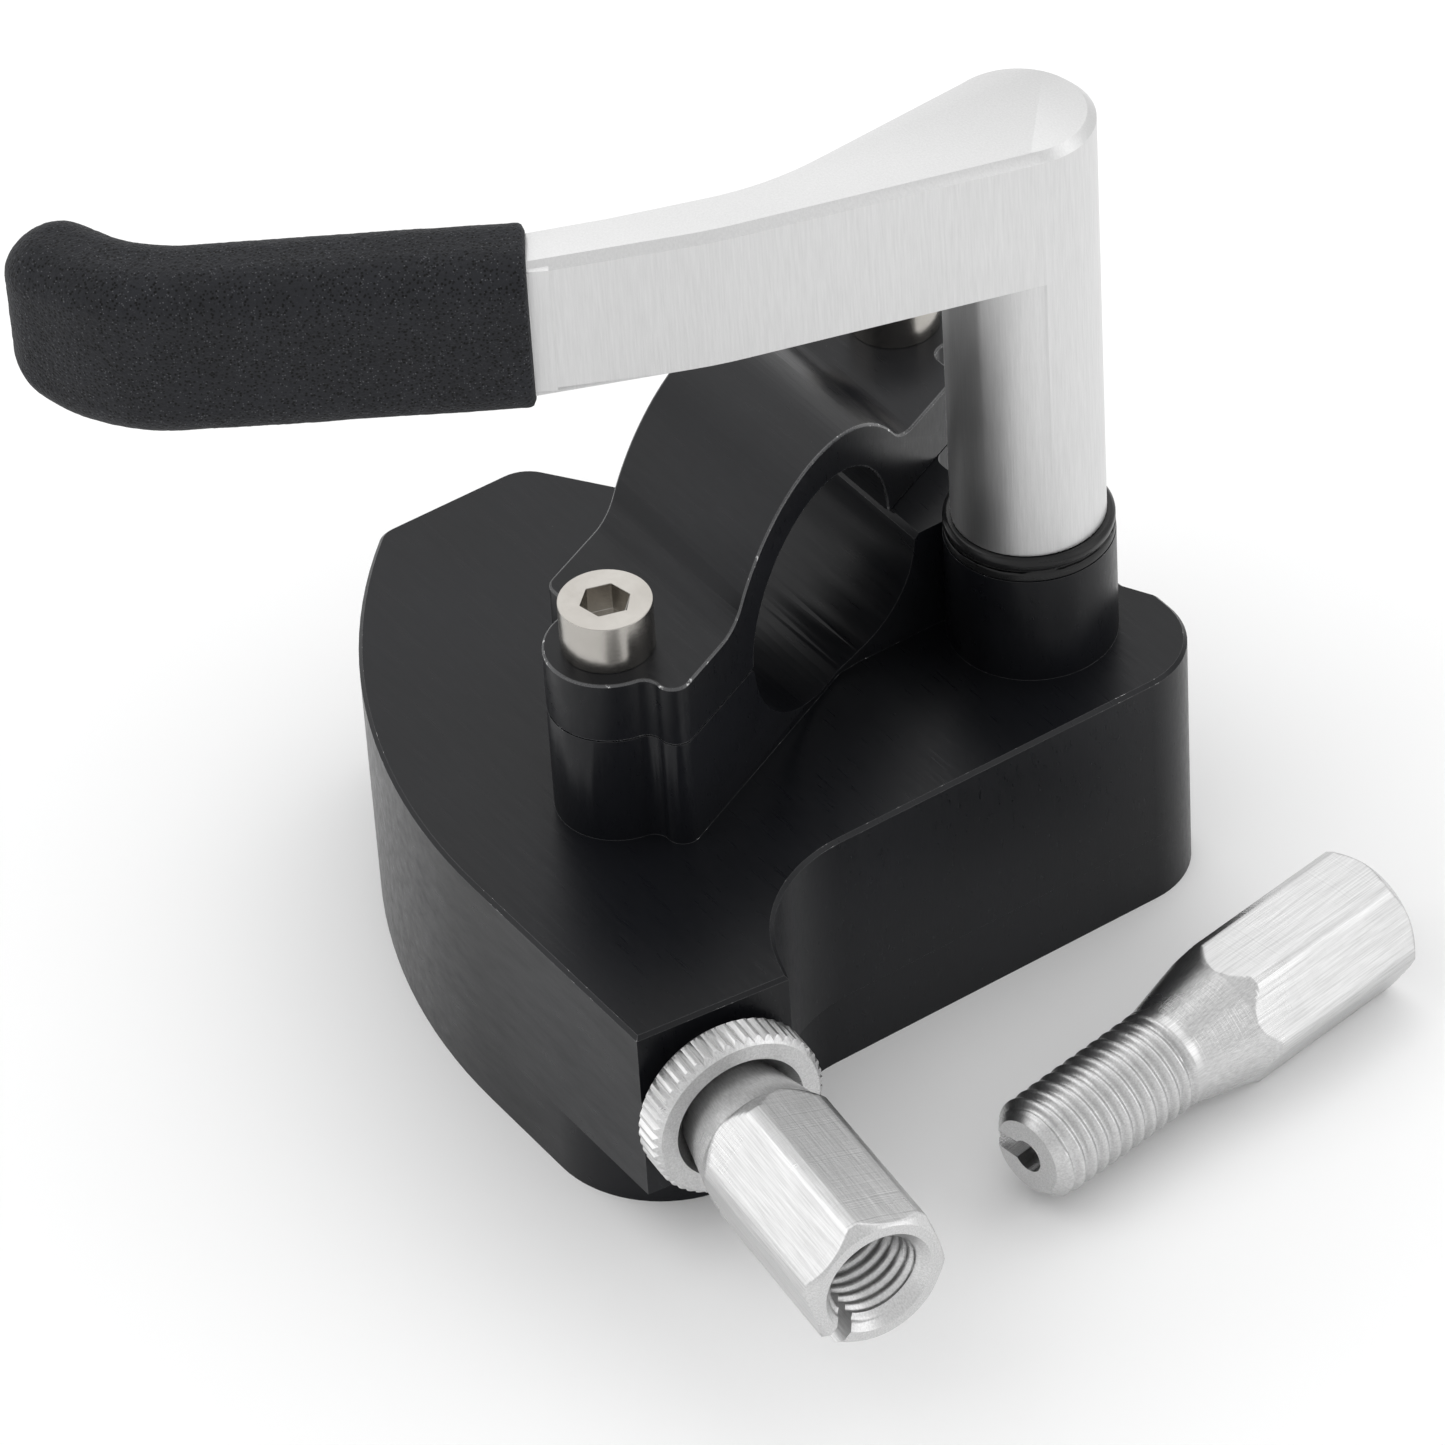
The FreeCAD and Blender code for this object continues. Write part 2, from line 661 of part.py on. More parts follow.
def makeLowerBush():
    inner = cell("spindleRadius") + cell("runningFit")
    return ring("lower_bush", [(inner, lowerBushBottom), (lowerBushRadius, lowerBushBottom),
                               (lowerBushRadius, lowerBushTop), (inner, lowerBushTop)])


def makeSpindle():
    radius = cell("spindleRadius")
    groove = radius - 0.6
    chamfer = 0.5
    body = ring("spindle", [
        (0, spindleBottom), (radius - chamfer, spindleBottom), (radius, spindleBottom + chamfer),
        (radius, clipBottom - 0.02), (groove, clipBottom - 0.02), (groove, washerBottom + 0.02),
        (radius, washerBottom + 0.02), (radius, spindleTop - chamfer), (radius - chamfer, spindleTop),
        (0, spindleTop)])
    body.Label = "spindle_blank"
    hole = crankPinCylinder("spindle_pin_hole", crossHoleLength)
    spindle = cut("spindle", body, hole)
    spindle.Label = "spindle"
    return spindle


def makeCirclip():
    """Open ring in the spindle's groove."""
    body = newBody("spindle_circlip")
    gap = 50.0
    inner = cell("spindleRadius") - 0.55
    outer = 5.9
    start = math.radians(gap / 2)
    end = 2 * math.pi - start
    ends = [Vector(math.cos(a), math.sin(a), 0) for a in (start, end)]
    outline = [arcAbout(Vector(), outer, start, end), Part.LineSegment(ends[1] * outer, ends[1] * inner),
               arcAbout(Vector(), inner, start, end), Part.LineSegment(ends[0] * inner, ends[0] * outer)]
    pad(body, newSketch(body, "XY_Plane", outline, str(clipBottom)), str(clipThickness))
    return body


def makeWasher():
    inner = cell("spindleRadius") + 0.05
    outer = cell("lowerHubRadius")
    top = washerBottom + washerThickness
    return ring("crank_washer", [(inner, washerBottom), (outer, washerBottom), (outer, top), (inner, top)])


def makeCrank():
    body = newBody("crank")
    plate = "dims.cableHeight - dims.crankThickness / 2"
    half = cell("crankHalfWidth")
    reach = cell("crankReach")
    waist = cell("crankWaist")
    tipHalf = half + 1.7
    rightSide = [(-1.0, waist, 0.5), (16.0, waist, 12.0), (25.0, half, 12.0), (42.0, half, 3.0),
                 (46.0, tipHalf, 2.0), (reach, tipHalf, 3.5)]
    places = [(r, -o, radius) for r, o, radius in rightSide] + rightSide[::-1]
    outline = [(crankPoint(r, o).x, crankPoint(r, o).y, radius) for r, o, radius in places]
    pad(body, newSketch(body, "XY_Plane", roundedLoop(outline), plate), "dims.crankThickness")
    hub = circleSketch(body, "XY_Plane", [(0, 0)], "crankHubRadius", plate)
    pad(body, hub, "%s" % (ceilingHeight - 0.3 - plateBottom))
    lower = circleSketch(body, "XY_Plane", [(0, 0)], "lowerHubRadius", str(hubBottom))
    pad(body, lower, "%s" % (plateBottom - hubBottom + 0.5))
    bore = circleSketch(body, "XY_Plane", [(0, 0)], "spindleRadius", "0")
    pocket(body, bore, throughAll, reverse=True)
    nipple = crankPoint(cell("cableRadius"), 0)
    seat = circleSketch(body, "XY_Plane", [(nipple.x, nipple.y)], "nippleRadius", "0")
    pocket(body, seat, throughAll, reverse=True)
    slotHalf = 1.1
    slotCorners = ((-slotHalf, 0), (-slotHalf, 12), (slotHalf, 12), (slotHalf, 0))
    slot = polygon([crankPoint(cell("cableRadius") + along, across) for along, across in slotCorners])
    slotSketch = newSketch(body, "XY_Plane", slot, "dims.cableHeight - %s" % slotHalf)
    pocket(body, slotSketch, "dims.crankThickness", reverse=True)
    legHole = Part.Circle(crankPoint(cell("springRadius"), 0), upAxis, cell("springWireRadius") + 0.1)
    pocket(body, newSketch(body, "XY_Plane", [legHole], "0"), "%s" % (plateBottom + 3.6), reverse=True)
    body.Label = "crank_blank"
    hole = crankPinCylinder("crank_pin_hole", crossHoleLength)
    crank = cut("crank", body, hole)
    crank.Label = "crank"
    return crank


def crankPinCylinder(name, length):
    """Cross pin or its hole, through the upper hub and the spindle, square to the crank's line."""
    across = Vector(-math.sin(crankAngle), math.cos(crankAngle), 0)
    pin = cylinder(name, str(crankPinRadius), str(length))
    base = across * (-length / 2) + Vector(0, 0, crankPinHeight)
    pin.Placement = FreeCAD.Placement(base, FreeCAD.Rotation(upAxis, across))
    return pin


def makeCrankPin():
    pin = crankPinCylinder("crank_pin", 2 * (cell("crankHubRadius") - 0.4))
    pin.Label = "crank_pin"
    return pin


def makeSpring():
    """Torsion spring: a straight leg to the anchor pin, a coil, and an upright leg into the crank."""
    radius = cell("springRadius")
    wire = cell("springWireRadius")
    legLength = 14.0
    pointsPerTurn = 9
    steps = int(springTurns * pointsPerTurn)
    route = [Vector(radius, -legLength * share, 0) for share in (1.0, 0.64, 0.29)]
    for step in range(steps + 1):
        turns = 0.06 + (springTurns - 0.06) * step / steps
        angle = 2 * math.pi * turns
        route.append(Vector(radius * math.cos(angle), radius * math.sin(angle), cell("springPitch") * turns))
    curve = Part.BSplineCurve()
    curve.interpolate(route)
    section = Part.Wire([Part.makeCircle(wire, route[0], Vector(0, 1, 0))])
    coil = Part.Wire([curve.toShape()]).makePipeShell([section], True, True)
    upperLeg = Part.makeCylinder(wire, 3.6, route[-1], upAxis)
    elbow = Part.makeSphere(wire + 0.02, route[-1])
    spring = doc.addObject("Part::Feature", "return_spring")
    spring.Label = "return_spring"
    spring.Shape = coil.fuse([upperLeg, elbow])
    return place(spring, Vector(0, 0, springBottom))


def makeAnchorPin():
    pin = cylinder("spring_anchor_pin", str(anchorRadius), "7.4",
                   Vector(anchorPlace[0], anchorPlace[1], cell("coverHeight") - 4.0))
    pin.Label = "spring_anchor_pin"
    return pin


def makeStopPins():
    bottom = cell("coverHeight") + 0.4
    height = ceilingHeight + ceilingBore - bottom
    pins = [cylinder("stop_pin%d" % i, "dims.stopPinRadius", str(height), Vector(p.x, p.y, bottom))
            for i, p in enumerate((closedStop, openStop))]
    return group("stop_pins", pins)


def ribbon(path, half, bendRadius, endRadius):
    """Outline of a band of even width along a path of three points, with a round far end."""
    start, bend, end = [Vector(x, y, 0) for x, y in path]
    first = (bend - start).normalize()
    second = (end - bend).normalize()
    turn = first.getAngle(second) / 2
    bisector = (Vector(-first.y, first.x, 0) + Vector(-second.y, second.x, 0)).normalize()
    mitre = bisector * (half / math.cos(turn))
    side = Vector(-second.y, second.x, 0) * half
    cap = end + second * half
    startSide = Vector(-first.y, first.x, 0) * half
    return [(start + startSide, 0), (bend + mitre, bendRadius + half), (cap + side, endRadius),
            (cap - side, endRadius), (bend - mitre, bendRadius - half), (start - startSide, 0)]


def bandOutline(path, halfWidth, bendRadius):
    """Closed outline of a band with a round far end."""
    ends = ribbon(path, halfWidth, bendRadius, halfWidth - 0.02)
    corners = [(point.x, point.y, radius) for point, radius in ends]
    closing = Part.LineSegment(Vector(*corners[-1][:2], 0), Vector(*corners[0][:2], 0))
    return roundedChain(corners) + [closing]


def coreSketch(body):
    """Section of the arm's narrower end, inside the grip."""
    outline = bandOutline(corePath, cell("coreHalfWidth"), cell("coreBend"))
    return newSketch(body, "XY_Plane", outline, coreCells)


def leverPlacement():
    return FreeCAD.Placement(Vector(), FreeCAD.Rotation(upAxis, cell("leverRest")))


def makeLeverArm():
    body = newBody("lever_arm")
    post = circleSketch(body, "XY_Plane", [(0, 0)], "postRadius", str(postBottom))
    pad(body, post, "dims.armTop - %s" % postBottom)
    shoulderX = gripStart + 0.03
    arm = [(0.0, 0.0, 0), (-4.3, 5.6, 0), (-22.4, -7.7, 26.0), (-36.0, -10.9, 30.0), (shoulderX, -12.4, 0),
           (shoulderX, -18.0, 0), (-27.0, -15.1, 40.0), (1.95, -6.83, 0), (0.0, 0.0, 0)]
    plan = newSketch(body, "XY_Plane", roundedChain(arm), "dims.armBottom")
    pad(body, plan, "dims.armTop - dims.armBottom")
    dress(body, "Chamfer", isLevel(cell("armTop")), "Size", 0.8)
    pad(body, coreSketch(body), "dims.coreHeight")
    bore = circleSketch(body, "XY_Plane", [(0, 0)], "spindleRadius", "0")
    pocket(body, bore, str(spindleTop + 0.5), reverse=True)
    body.Label = "lever_blank"
    screwHole = cylinder("grub_hole", str(grubRadius), "12")
    screwHole.Placement = grubPlacement(0)
    lever = cut("lever_arm", body, screwHole)
    lever.Label = "lever_arm"
    lever.Placement = leverPlacement()
    return lever


def grubPlacement(start):
    """Set screw hole, square to the post, on the side away from the arm's front."""
    return FreeCAD.Placement(Vector(0, start, grubHeight), FreeCAD.Rotation(upAxis, Vector(0, 1, 0)))


def makeGrubScrew():
    length = cell("postRadius") - cell("spindleRadius") - 0.5
    blank = cylinder("grub_blank", str(grubRadius - 0.01), str(length))
    key = hexagonKey("grub_key", smallKey, 2.0, Vector(0, 0, length - 1.2))
    screw = cut("lever_grub_screw", blank, key)
    screw.Label = "lever_grub_screw"
    screw.Placement = leverPlacement().multiply(grubPlacement(cell("spindleRadius") + 0.02))
    return screw


def makeGrip():
    body = newBody("foam_grip")
    outline = bandOutline(gripPath, cell("gripHalfWidth"), cell("gripBend"))
    bottom = gripMiddle - cell("gripHeight") / 2
    pad(body, newSketch(body, "XY_Plane", outline, str(bottom)), "dims.gripHeight")
    doc.recompute()
    base = body.Tip
    rims = edgesWhere(base, isLevel(bottom, bottom + cell("gripHeight")))
    along = [name for name in rims if base.Shape.getElement(name).BoundBox.XLength > 0.01]
    fillet = body.newObject("PartDesign::Fillet", "grip_fillet")
    fillet.Base = (base, along)
    fillet.setExpression("Radius", "dims.gripCornerRadius")
    doc.recompute()
    pocket(body, coreSketch(body), "dims.coreHeight", reverse=True)
    body.Placement = leverPlacement()
    return body


def threadProfile():
    """Outer profile (x, radius) from the chamfered tip, through the thread, to the cone's foot."""
    crest = cell("threadRadius")
    root = crest - cell("threadDepth")
    pitch = cell("threadPitch")
    points = [(0.0, crest - 1.3), (1.1, crest - 0.2)]
    turns = int((cell("threadLength") - 2.2) / pitch)
    for turn in range(turns):
        start = 1.5 + turn * pitch
        points += [(start, crest), (start + pitch * 0.45, root), (start + pitch * 0.55, root)]
    points += [(1.5 + turns * pitch, crest), (cell("threadLength") - 0.3, crest)]
    return points


def makeAdapter(label):
    body = newBody(label)
    turned = cell("barrelRound")
    socket = cell("socketRadius")
    socketBottom = adapterLength - cell("socketDepth")
    barrel = cell("threadLength") + cell("coneLength")
    outline = [(0.0, cell("cableHoleRadius"))] + threadProfile() + [
        (barrel - 1.0, turned - 0.7), (barrel + 0.6, turned), (adapterLength - 0.9, turned),
        (adapterLength, turned - 0.9), (adapterLength, socket + 1.2), (adapterLength - 1.2, socket),
        (socketBottom, socket), (socketBottom - 1.4, cell("cableHoleRadius"))]
    revolve(body, "XZ_Plane", polygon(outline), "H_Axis")
    doc.recompute()
    reach = cell("barrelFlats") / math.sqrt(3)
    corners = [math.pi / 3 * corner for corner in range(6)]
    hexagon = polygon([(reach * math.cos(angle), reach * math.sin(angle)) for angle in corners])
    outside = Part.Circle(Vector(), upAxis, 10.0)
    flats = newSketch(body, "YZ_Plane", hexagon + [outside], str(adapterLength))
    pocket(body, flats, "dims.barrelLength + dims.coneLength")
    half = cell("slitWidth") / 2
    slit = polygon([(0, -half), (9, -half), (9, half), (0, half)])
    pocket(body, newSketch(body, "YZ_Plane", slit, str(adapterLength)), str(adapterLength))
    return body


def turnGroove(body, profile):
    """Groove turned about the body's X axis from a profile of (x, radius) points."""
    doc.recompute()
    sketch = newSketch(body, "XZ_Plane", polygon(profile))
    groove = body.newObject("PartDesign::Groove", body.Name + "_groove")
    groove.Profile = sketch
    groove.ReferenceAxis = (sketch, ["H_Axis"])
    groove.Angle = 360


def makeLocknut():
    """Round nut with a straight knurl and chamfered rims."""
    teeth = 50
    outer = cell("nutRadius")
    root = outer - 0.42
    width = cell("nutWidth")
    bevel = 0.6
    body = newBody("adapter_locknut")
    points = []
    for tooth in range(teeth):
        for share, radius in ((0.0, outer), (0.28, outer), (0.64, root)):
            angle = 2 * math.pi * (tooth + share) / teeth
            points.append((radius * math.cos(angle), radius * math.sin(angle)))
    pad(body, newSketch(body, "YZ_Plane", polygon(points)), "dims.nutWidth")
    hole = newSketch(body, "YZ_Plane", [Part.Circle(Vector(), upAxis, nutBore)], "-1")
    pocket(body, hole, throughAll, reverse=True)
    for face, inward in ((0, 1), (width, -1)):
        turnGroove(body, [(face, outer - bevel), (face, outer + 1), (face + inward * (bevel + 1), outer + 1)])
    end = width + 0.01
    turnGroove(body, [(end, nutBore - 0.01), (end, nutBore + 1.3), (width - 1.6, nutBore - 0.01)])
    return body


def alongCable(distance, roll):
    """Placement of a turned part on the cable's axis, by its distance from the crank."""
    turn = FreeCAD.Rotation(upAxis, -cell("cableTilt"))
    rolled = FreeCAD.Rotation(Vector(1, 0, 0), roll)
    position = cableFoot + cableDirection * distance + Vector(0, 0, cell("cableHeight"))
    return FreeCAD.Placement(position, turn.multiply(rolled))


def build():
    nodes = [makeHousing(), makeCover(), makeCoverScrews(), makeDowels(), makeClampCap(), makeClampScrews(),
             makeUpperBush(), makeSpindleSeal(), makeLowerBush(), makeSpindle(), makeCirclip(), makeWasher(),
             makeCrank(), makeCrankPin(), makeSpring(), makeAnchorPin(), makeStopPins(), makeLeverArm(),
             makeGrubScrew(), makeGrip()]
    adapter = makeAdapter("cable_adapter")
    adapter.Placement = alongCable(15.4, -135)
    locknut = makeLocknut()
    locknut.Placement = alongCable(cell("exitDistance") + 1.2, 0)
    spare = makeAdapter("spare_adapter")
    resting = Vector(39.4, -30.5, cell("barrelFlats") / 2)
    spare.Placement = FreeCAD.Placement(resting, FreeCAD.Rotation(upAxis, 99.0))
    doc.recompute()
    return nodes + [adapter, locknut, spare]


def check(nodes):
    for item in doc.Objects:
        if "Invalid" in item.State or "Error" in item.State:
            raise RuntimeError(item.Label + " failed: " + str(item.State))
    for node in nodes:
        if node.Shape.isNull() or not node.Shape.isValid():
            raise RuntimeError(node.Label + " has no valid shape")


def export(nodes):
    os.makedirs("parts", exist_ok=True)
    for node in nodes:
        node.Shape.exportStep("parts/%s.step" % node.Label)
        print("%-18s %8.0f mm3, %d solid(s)" % (node.Label, node.Shape.Volume, len(node.Shape.Solids)))


nodes = build()
check(nodes)
export(nodes)
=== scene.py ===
import json
import math

import bmesh
import bpy
import numpy as np
from mathutils import Matrix, Vector


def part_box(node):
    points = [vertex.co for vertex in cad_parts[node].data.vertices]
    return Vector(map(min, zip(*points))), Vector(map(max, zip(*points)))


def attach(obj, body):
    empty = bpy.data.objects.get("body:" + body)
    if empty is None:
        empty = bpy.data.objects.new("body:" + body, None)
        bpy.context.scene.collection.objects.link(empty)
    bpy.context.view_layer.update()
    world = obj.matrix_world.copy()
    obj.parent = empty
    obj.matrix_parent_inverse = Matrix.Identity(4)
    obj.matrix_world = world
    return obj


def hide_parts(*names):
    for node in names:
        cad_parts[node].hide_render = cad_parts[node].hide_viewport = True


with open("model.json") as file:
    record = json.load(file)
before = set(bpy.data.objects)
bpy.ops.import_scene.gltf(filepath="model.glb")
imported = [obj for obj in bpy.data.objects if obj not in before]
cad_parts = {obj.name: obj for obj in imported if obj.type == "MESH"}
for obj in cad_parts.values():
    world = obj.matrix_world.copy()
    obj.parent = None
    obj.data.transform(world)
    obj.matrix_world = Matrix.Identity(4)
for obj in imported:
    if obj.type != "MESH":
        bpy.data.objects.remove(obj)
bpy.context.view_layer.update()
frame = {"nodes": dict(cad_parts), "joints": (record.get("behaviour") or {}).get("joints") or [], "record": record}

millimetre = 0.001
nodes = frame["nodes"]
jointAt = {joint["name"]: joint for joint in frame["joints"]}
mountAt = {mount["name"]: mount for mount in frame["record"]["mounts"]}
print("frame loaded:", len(nodes), "nodes")


# Puts a number, colour or link on a socket.
def feed(tree, socket, value):
    if isinstance(value, bpy.types.NodeSocket):
        tree.links.new(value, socket)
    else:
        socket.default_value = value


# A shader node with its settings, and with numbers or links on its inputs.
def addNode(tree, kind, values, **settings):
    node = tree.nodes.new("ShaderNode" + kind)
    for name, value in settings.items():
        setattr(node, name, value)
    for name, value in values.items():
        feed(tree, node.inputs[name], value)
    return node


# Empty node group with named inputs (kind, default) and named outputs.
def newGroup(name, inputs, outputs):
    tree = bpy.data.node_groups.new(name, "ShaderNodeTree")
    for label, (kind, default) in inputs.items():
        socket = tree.interface.new_socket(label, in_out="INPUT", socket_type="NodeSocket" + kind)
        if default is not None:
            socket.default_value = default
    for label in outputs:
        tree.interface.new_socket(label, in_out="OUTPUT", socket_type="NodeSocketFloat")
    start = tree.nodes.new("NodeGroupInput")
    end = tree.nodes.new("NodeGroupOutput")
    return tree, start.outputs, end


# Stretched noise: a fine grain, and slow clouds that aren't stretched.
def makeGrainGroup():
    tree, given, end = newGroup(
        "metalGrain",
        {"Vector": ("Vector", None), "Stretch": ("Vector", (1.0, 1.0, 1.0)), "Fine": ("Float", 900.0),
         "Slow": ("Float", 60.0)},
        ("Grain", "Cloud"))
    stretched = addNode(tree, "VectorMath", {0: given["Vector"], 1: given["Stretch"]},
                        operation="MULTIPLY")
    fine = addNode(tree, "TexNoise", {"Vector": stretched.outputs[0], "Scale": given["Fine"],
                                      "Detail": 4.0, "Roughness": 0.65})
    slow = addNode(tree, "TexNoise", {"Vector": given["Vector"], "Scale": given["Slow"], "Detail": 3.0})
    tree.links.new(fine.outputs["Fac"], end.inputs["Grain"])
    tree.links.new(slow.outputs["Fac"], end.inputs["Cloud"])
    return tree


# Lathe marks: noise that changes only along X, broken up a little around the part.
def makeTurningGroup():
    drift = 0.0006                         # metres that a mark may wander along the axis
    tree, given, end = newGroup(
        "turningMarks",
        {"Vector": ("Vector", None), "Rings": ("Float", 2600.0), "Breakup": ("Float", 120.0)},
        ("Marks",))
    split = addNode(tree, "SeparateXYZ", {0: given["Vector"]})
    wobble = addNode(tree, "TexNoise", {"Vector": given["Vector"], "Scale": given["Breakup"],
                                        "Detail": 2.0})
    along = addNode(tree, "Math", {0: wobble.outputs["Fac"], 1: drift, 2: split.outputs["X"]},
                    operation="MULTIPLY_ADD")
    rings = addNode(tree, "TexNoise", {"W": along.outputs[0], "Scale": given["Rings"], "Detail": 3.0,
                                       "Roughness": 0.6}, noise_dimensions="1D")
    tree.links.new(rings.outputs["Fac"], end.inputs["Marks"])
    return tree


# Small bright nicks: the high peaks of a noise, as a mask from 0 to 1.
def makeNickGroup():
    tree, given, end = newGroup(
        "nickMask",
        {"Vector": ("Vector", None), "Scale": ("Float", 900.0), "Threshold": ("Float", 0.62),
         "Softness": ("Float", 0.05)},
        ("Mask",))
    noise = addNode(tree, "TexNoise", {"Vector": given["Vector"], "Scale": given["Scale"],
                                       "Detail": 5.0, "Roughness": 0.7})
    upper = addNode(tree, "Math", {0: given["Threshold"], 1: given["Softness"]}, operation="ADD")
    mask = addNode(tree, "MapRange", {"Value": noise.outputs["Fac"], "From Min": given["Threshold"],
                                      "From Max": upper.outputs[0]})
    tree.links.new(mask.outputs["Result"], end.inputs["Mask"])
    return tree


grainGroup = makeGrainGroup()
turningGroup = makeTurningGroup()
nickGroup = makeNickGroup()


# Material with its Principled shader, and object coordinates to lay patterns on. Where a pattern
# feeds the roughness, the number given here is only the socket's own value under it.
def newMaterial(name, roughness, metallic, specular=0.5):
    material = bpy.data.materials.new(name)
    material.use_nodes = True
    tree = material.node_tree
    shader = tree.nodes["Principled BSDF"]
    shader.inputs["Roughness"].default_value = roughness
    shader.inputs["Metallic"].default_value = metallic
    shader.inputs["Specular IOR Level"].default_value = specular
    place = addNode(tree, "TexCoord", {}).outputs["Object"]
    return material, tree, shader, place


def useGroup(tree, group, values):
    node = tree.nodes.new("ShaderNodeGroup")
    node.node_tree = group
    for name, value in values.items():
        feed(tree, node.inputs[name], value)
    return node.outputs


# The grain group; fine and slow are its patterns to the metre.
def useGrain(tree, place, stretch, fine, slow):
    return useGroup(tree, grainGroup, {"Vector": place, "Stretch": stretch, "Fine": fine, "Slow": slow})


# A pattern's value spread over a range. Noise is mostly between 0.3 and 0.7.
def mapped(tree, value, low, high, fromLow=0.3, fromHigh=0.7):
    spread = addNode(tree, "MapRange", {"Value": value, "From Min": fromLow, "From Max": fromHigh,
                                        "To Min": low, "To Max": high})
    return spread.outputs["Result"]


# Colour between two colours or colour sockets. A colour mix has them on its inputs 6 and 7.
def mixed(tree, share, first, second):
    mix = tree.nodes.new("ShaderNodeMix")
    mix.data_type = "RGBA"
    feed(tree, mix.inputs["Factor"], share)
    feed(tree, mix.inputs[6], first)
    feed(tree, mix.inputs[7], second)
    return mix.outputs[2]


# A look's dark colour that drifts to its pale one with a pattern.
def clouded(tree, pattern, look):
    return mixed(tree, mapped(tree, pattern, 0.0, 1.0), look["dark"], look["pale"])


def connect(tree, shader, colour, roughness, metallic=None):
    tree.links.new(colour, shader.inputs["Base Color"])
    tree.links.new(roughness, shader.inputs["Roughness"])
    if metallic is not None:
        tree.links.new(metallic, shader.inputs["Metallic"])


# Bump nodes one after the other; layers are (height socket, strength), distance is in metres.
def addBump(tree, shader, layers, distance=0.0001):
    previous = None
    for height, strength in layers:
        bump = addNode(tree, "Bump", {"Height": height, "Strength": strength, "Distance": distance})
        if previous is not None:
            tree.links.new(previous, bump.inputs["Normal"])
        previous = bump.outputs["Normal"]
    tree.links.new(previous, shader.inputs["Normal"])


# Opaque grey; tint is how much bluer than grey it is.
def grey(level, tint=0.0):
    return (level * (1 - tint), level * (1 - tint * 0.6), level * (1 + tint), 1.0)


even = (1.0, 1.0, 1.0)                     # no stretch


# Black anodised plate: milled grain, slow clouds and a few faint bright specks.
def makeBlackAnodised():
    look = {
        "dark": grey(0.0045, 0.14),
        "pale": grey(0.0085, 0.16),
        "speck": grey(0.10, 0.02),
        "specks": {"Scale": 1900.0, "Threshold": 0.735, "Softness": 0.03},
        "roughness": (0.26, 0.38),
        "milledBump": 0.07,
        "grainBump": 0.04,
    }
    material, tree, shader, place = newMaterial("blackAnodised", 0.34, 0.0, 0.23)
    grain = useGrain(tree, place, even, 2600.0, 45.0)
    milled = useGrain(tree, place, (0.06, 1.0, 0.25), 3200.0, 200.0)
    speck = useGroup(tree, nickGroup, {"Vector": place, **look["specks"]})
    black = clouded(tree, grain["Cloud"], look)
    connect(tree, shader, mixed(tree, speck["Mask"], black, look["speck"]),
            mapped(tree, milled["Grain"], *look["roughness"]))
    addBump(tree, shader, [(milled["Grain"], look["milledBump"]), (grain["Grain"], look["grainBump"])])
    return material


# Edge of an anodised part: a paler black, partly thinned anodising and partly a painted highlight for the light
# lines the edges catch, polished, with real nicks down to the aluminium.
def makeEdgeWearAndHighlight():
    look = {
        "dark": grey(0.020, 0.05),
        "pale": grey(0.075, 0.03),
        "bare": grey(0.62),
        "nicks": {"Scale": 800.0, "Threshold": 0.60, "Softness": 0.05},
        "roughness": (0.2, 0.34),
        "bump": 0.1,
    }
    material, tree, shader, place = newMaterial("blackAnodisedEdgeWearAndHighlight", 0.25, 0.0, 0.7)
    grain = useGrain(tree, place, even, 1500.0, 110.0)
    nick = useGroup(tree, nickGroup, {"Vector": place, **look["nicks"]})
    # Paler black on the edges: partly real thinning, partly a painted highlight for the edges' light lines; the
    # nicks are real wear.
    wearAndHighlightBlack = clouded(tree, grain["Cloud"], look)
    connect(tree, shader, mixed(tree, nick["Mask"], wearAndHighlightBlack, look["bare"]),
            mapped(tree, grain["Grain"], *look["roughness"]), nick["Mask"])
    addBump(tree, shader, [(grain["Grain"], look["bump"])])
    return material


# Satin aluminium of the lever: fine upright graining, soft clouds.
def makeSatinAluminium():
    look = {
        "dark": grey(0.64),
        "pale": grey(0.71),
        "roughness": (0.36, 0.44),
        "uprightBump": 0.14,
        "fineBump": 0.10,
    }
    material, tree, shader, place = newMaterial("satinAluminium", 0.40, 1.0)
    upright = useGrain(tree, place, (1.0, 1.0, 0.05), 5200.0, 70.0)
    fine = useGrain(tree, place, (1.0, 1.0, 0.5), 6500.0, 160.0)
    connect(tree, shader, clouded(tree, upright["Grain"], look),
            mapped(tree, upright["Cloud"], *look["roughness"]))
    addBump(tree, shader, [(upright["Grain"], look["uprightBump"]), (fine["Grain"], look["fineBump"])])
    return material


# Bright machined aluminium; turn is the angle about Z from X to the part's own axis.
def makeTurnedAluminium(name, turn):
    look = {
        "dark": grey(0.50),
        "pale": grey(0.71),
        "marks": {"Rings": 4200.0, "Breakup": 150.0},
        "roughness": (0.24, 0.36),
        "markBump": 0.20,
        "brushedBump": 0.16,
    }
    material, tree, shader, place = newMaterial(name, 0.3, 1.0)
    own = addNode(tree, "Mapping", {"Vector": place, "Rotation": (0.0, 0.0, -turn)}).outputs["Vector"]
    marks = useGroup(tree, turningGroup, {"Vector": own, **look["marks"]})
    brushed = useGrain(tree, own, (0.03, 1.0, 1.0), 6200.0, 90.0)
    connect(tree, shader, clouded(tree, brushed["Grain"], look),
            mapped(tree, brushed["Cloud"], *look["roughness"]))
    addBump(tree, shader, [(marks["Marks"], look["markBump"]), (brushed["Grain"], look["brushedBump"])])
    return material


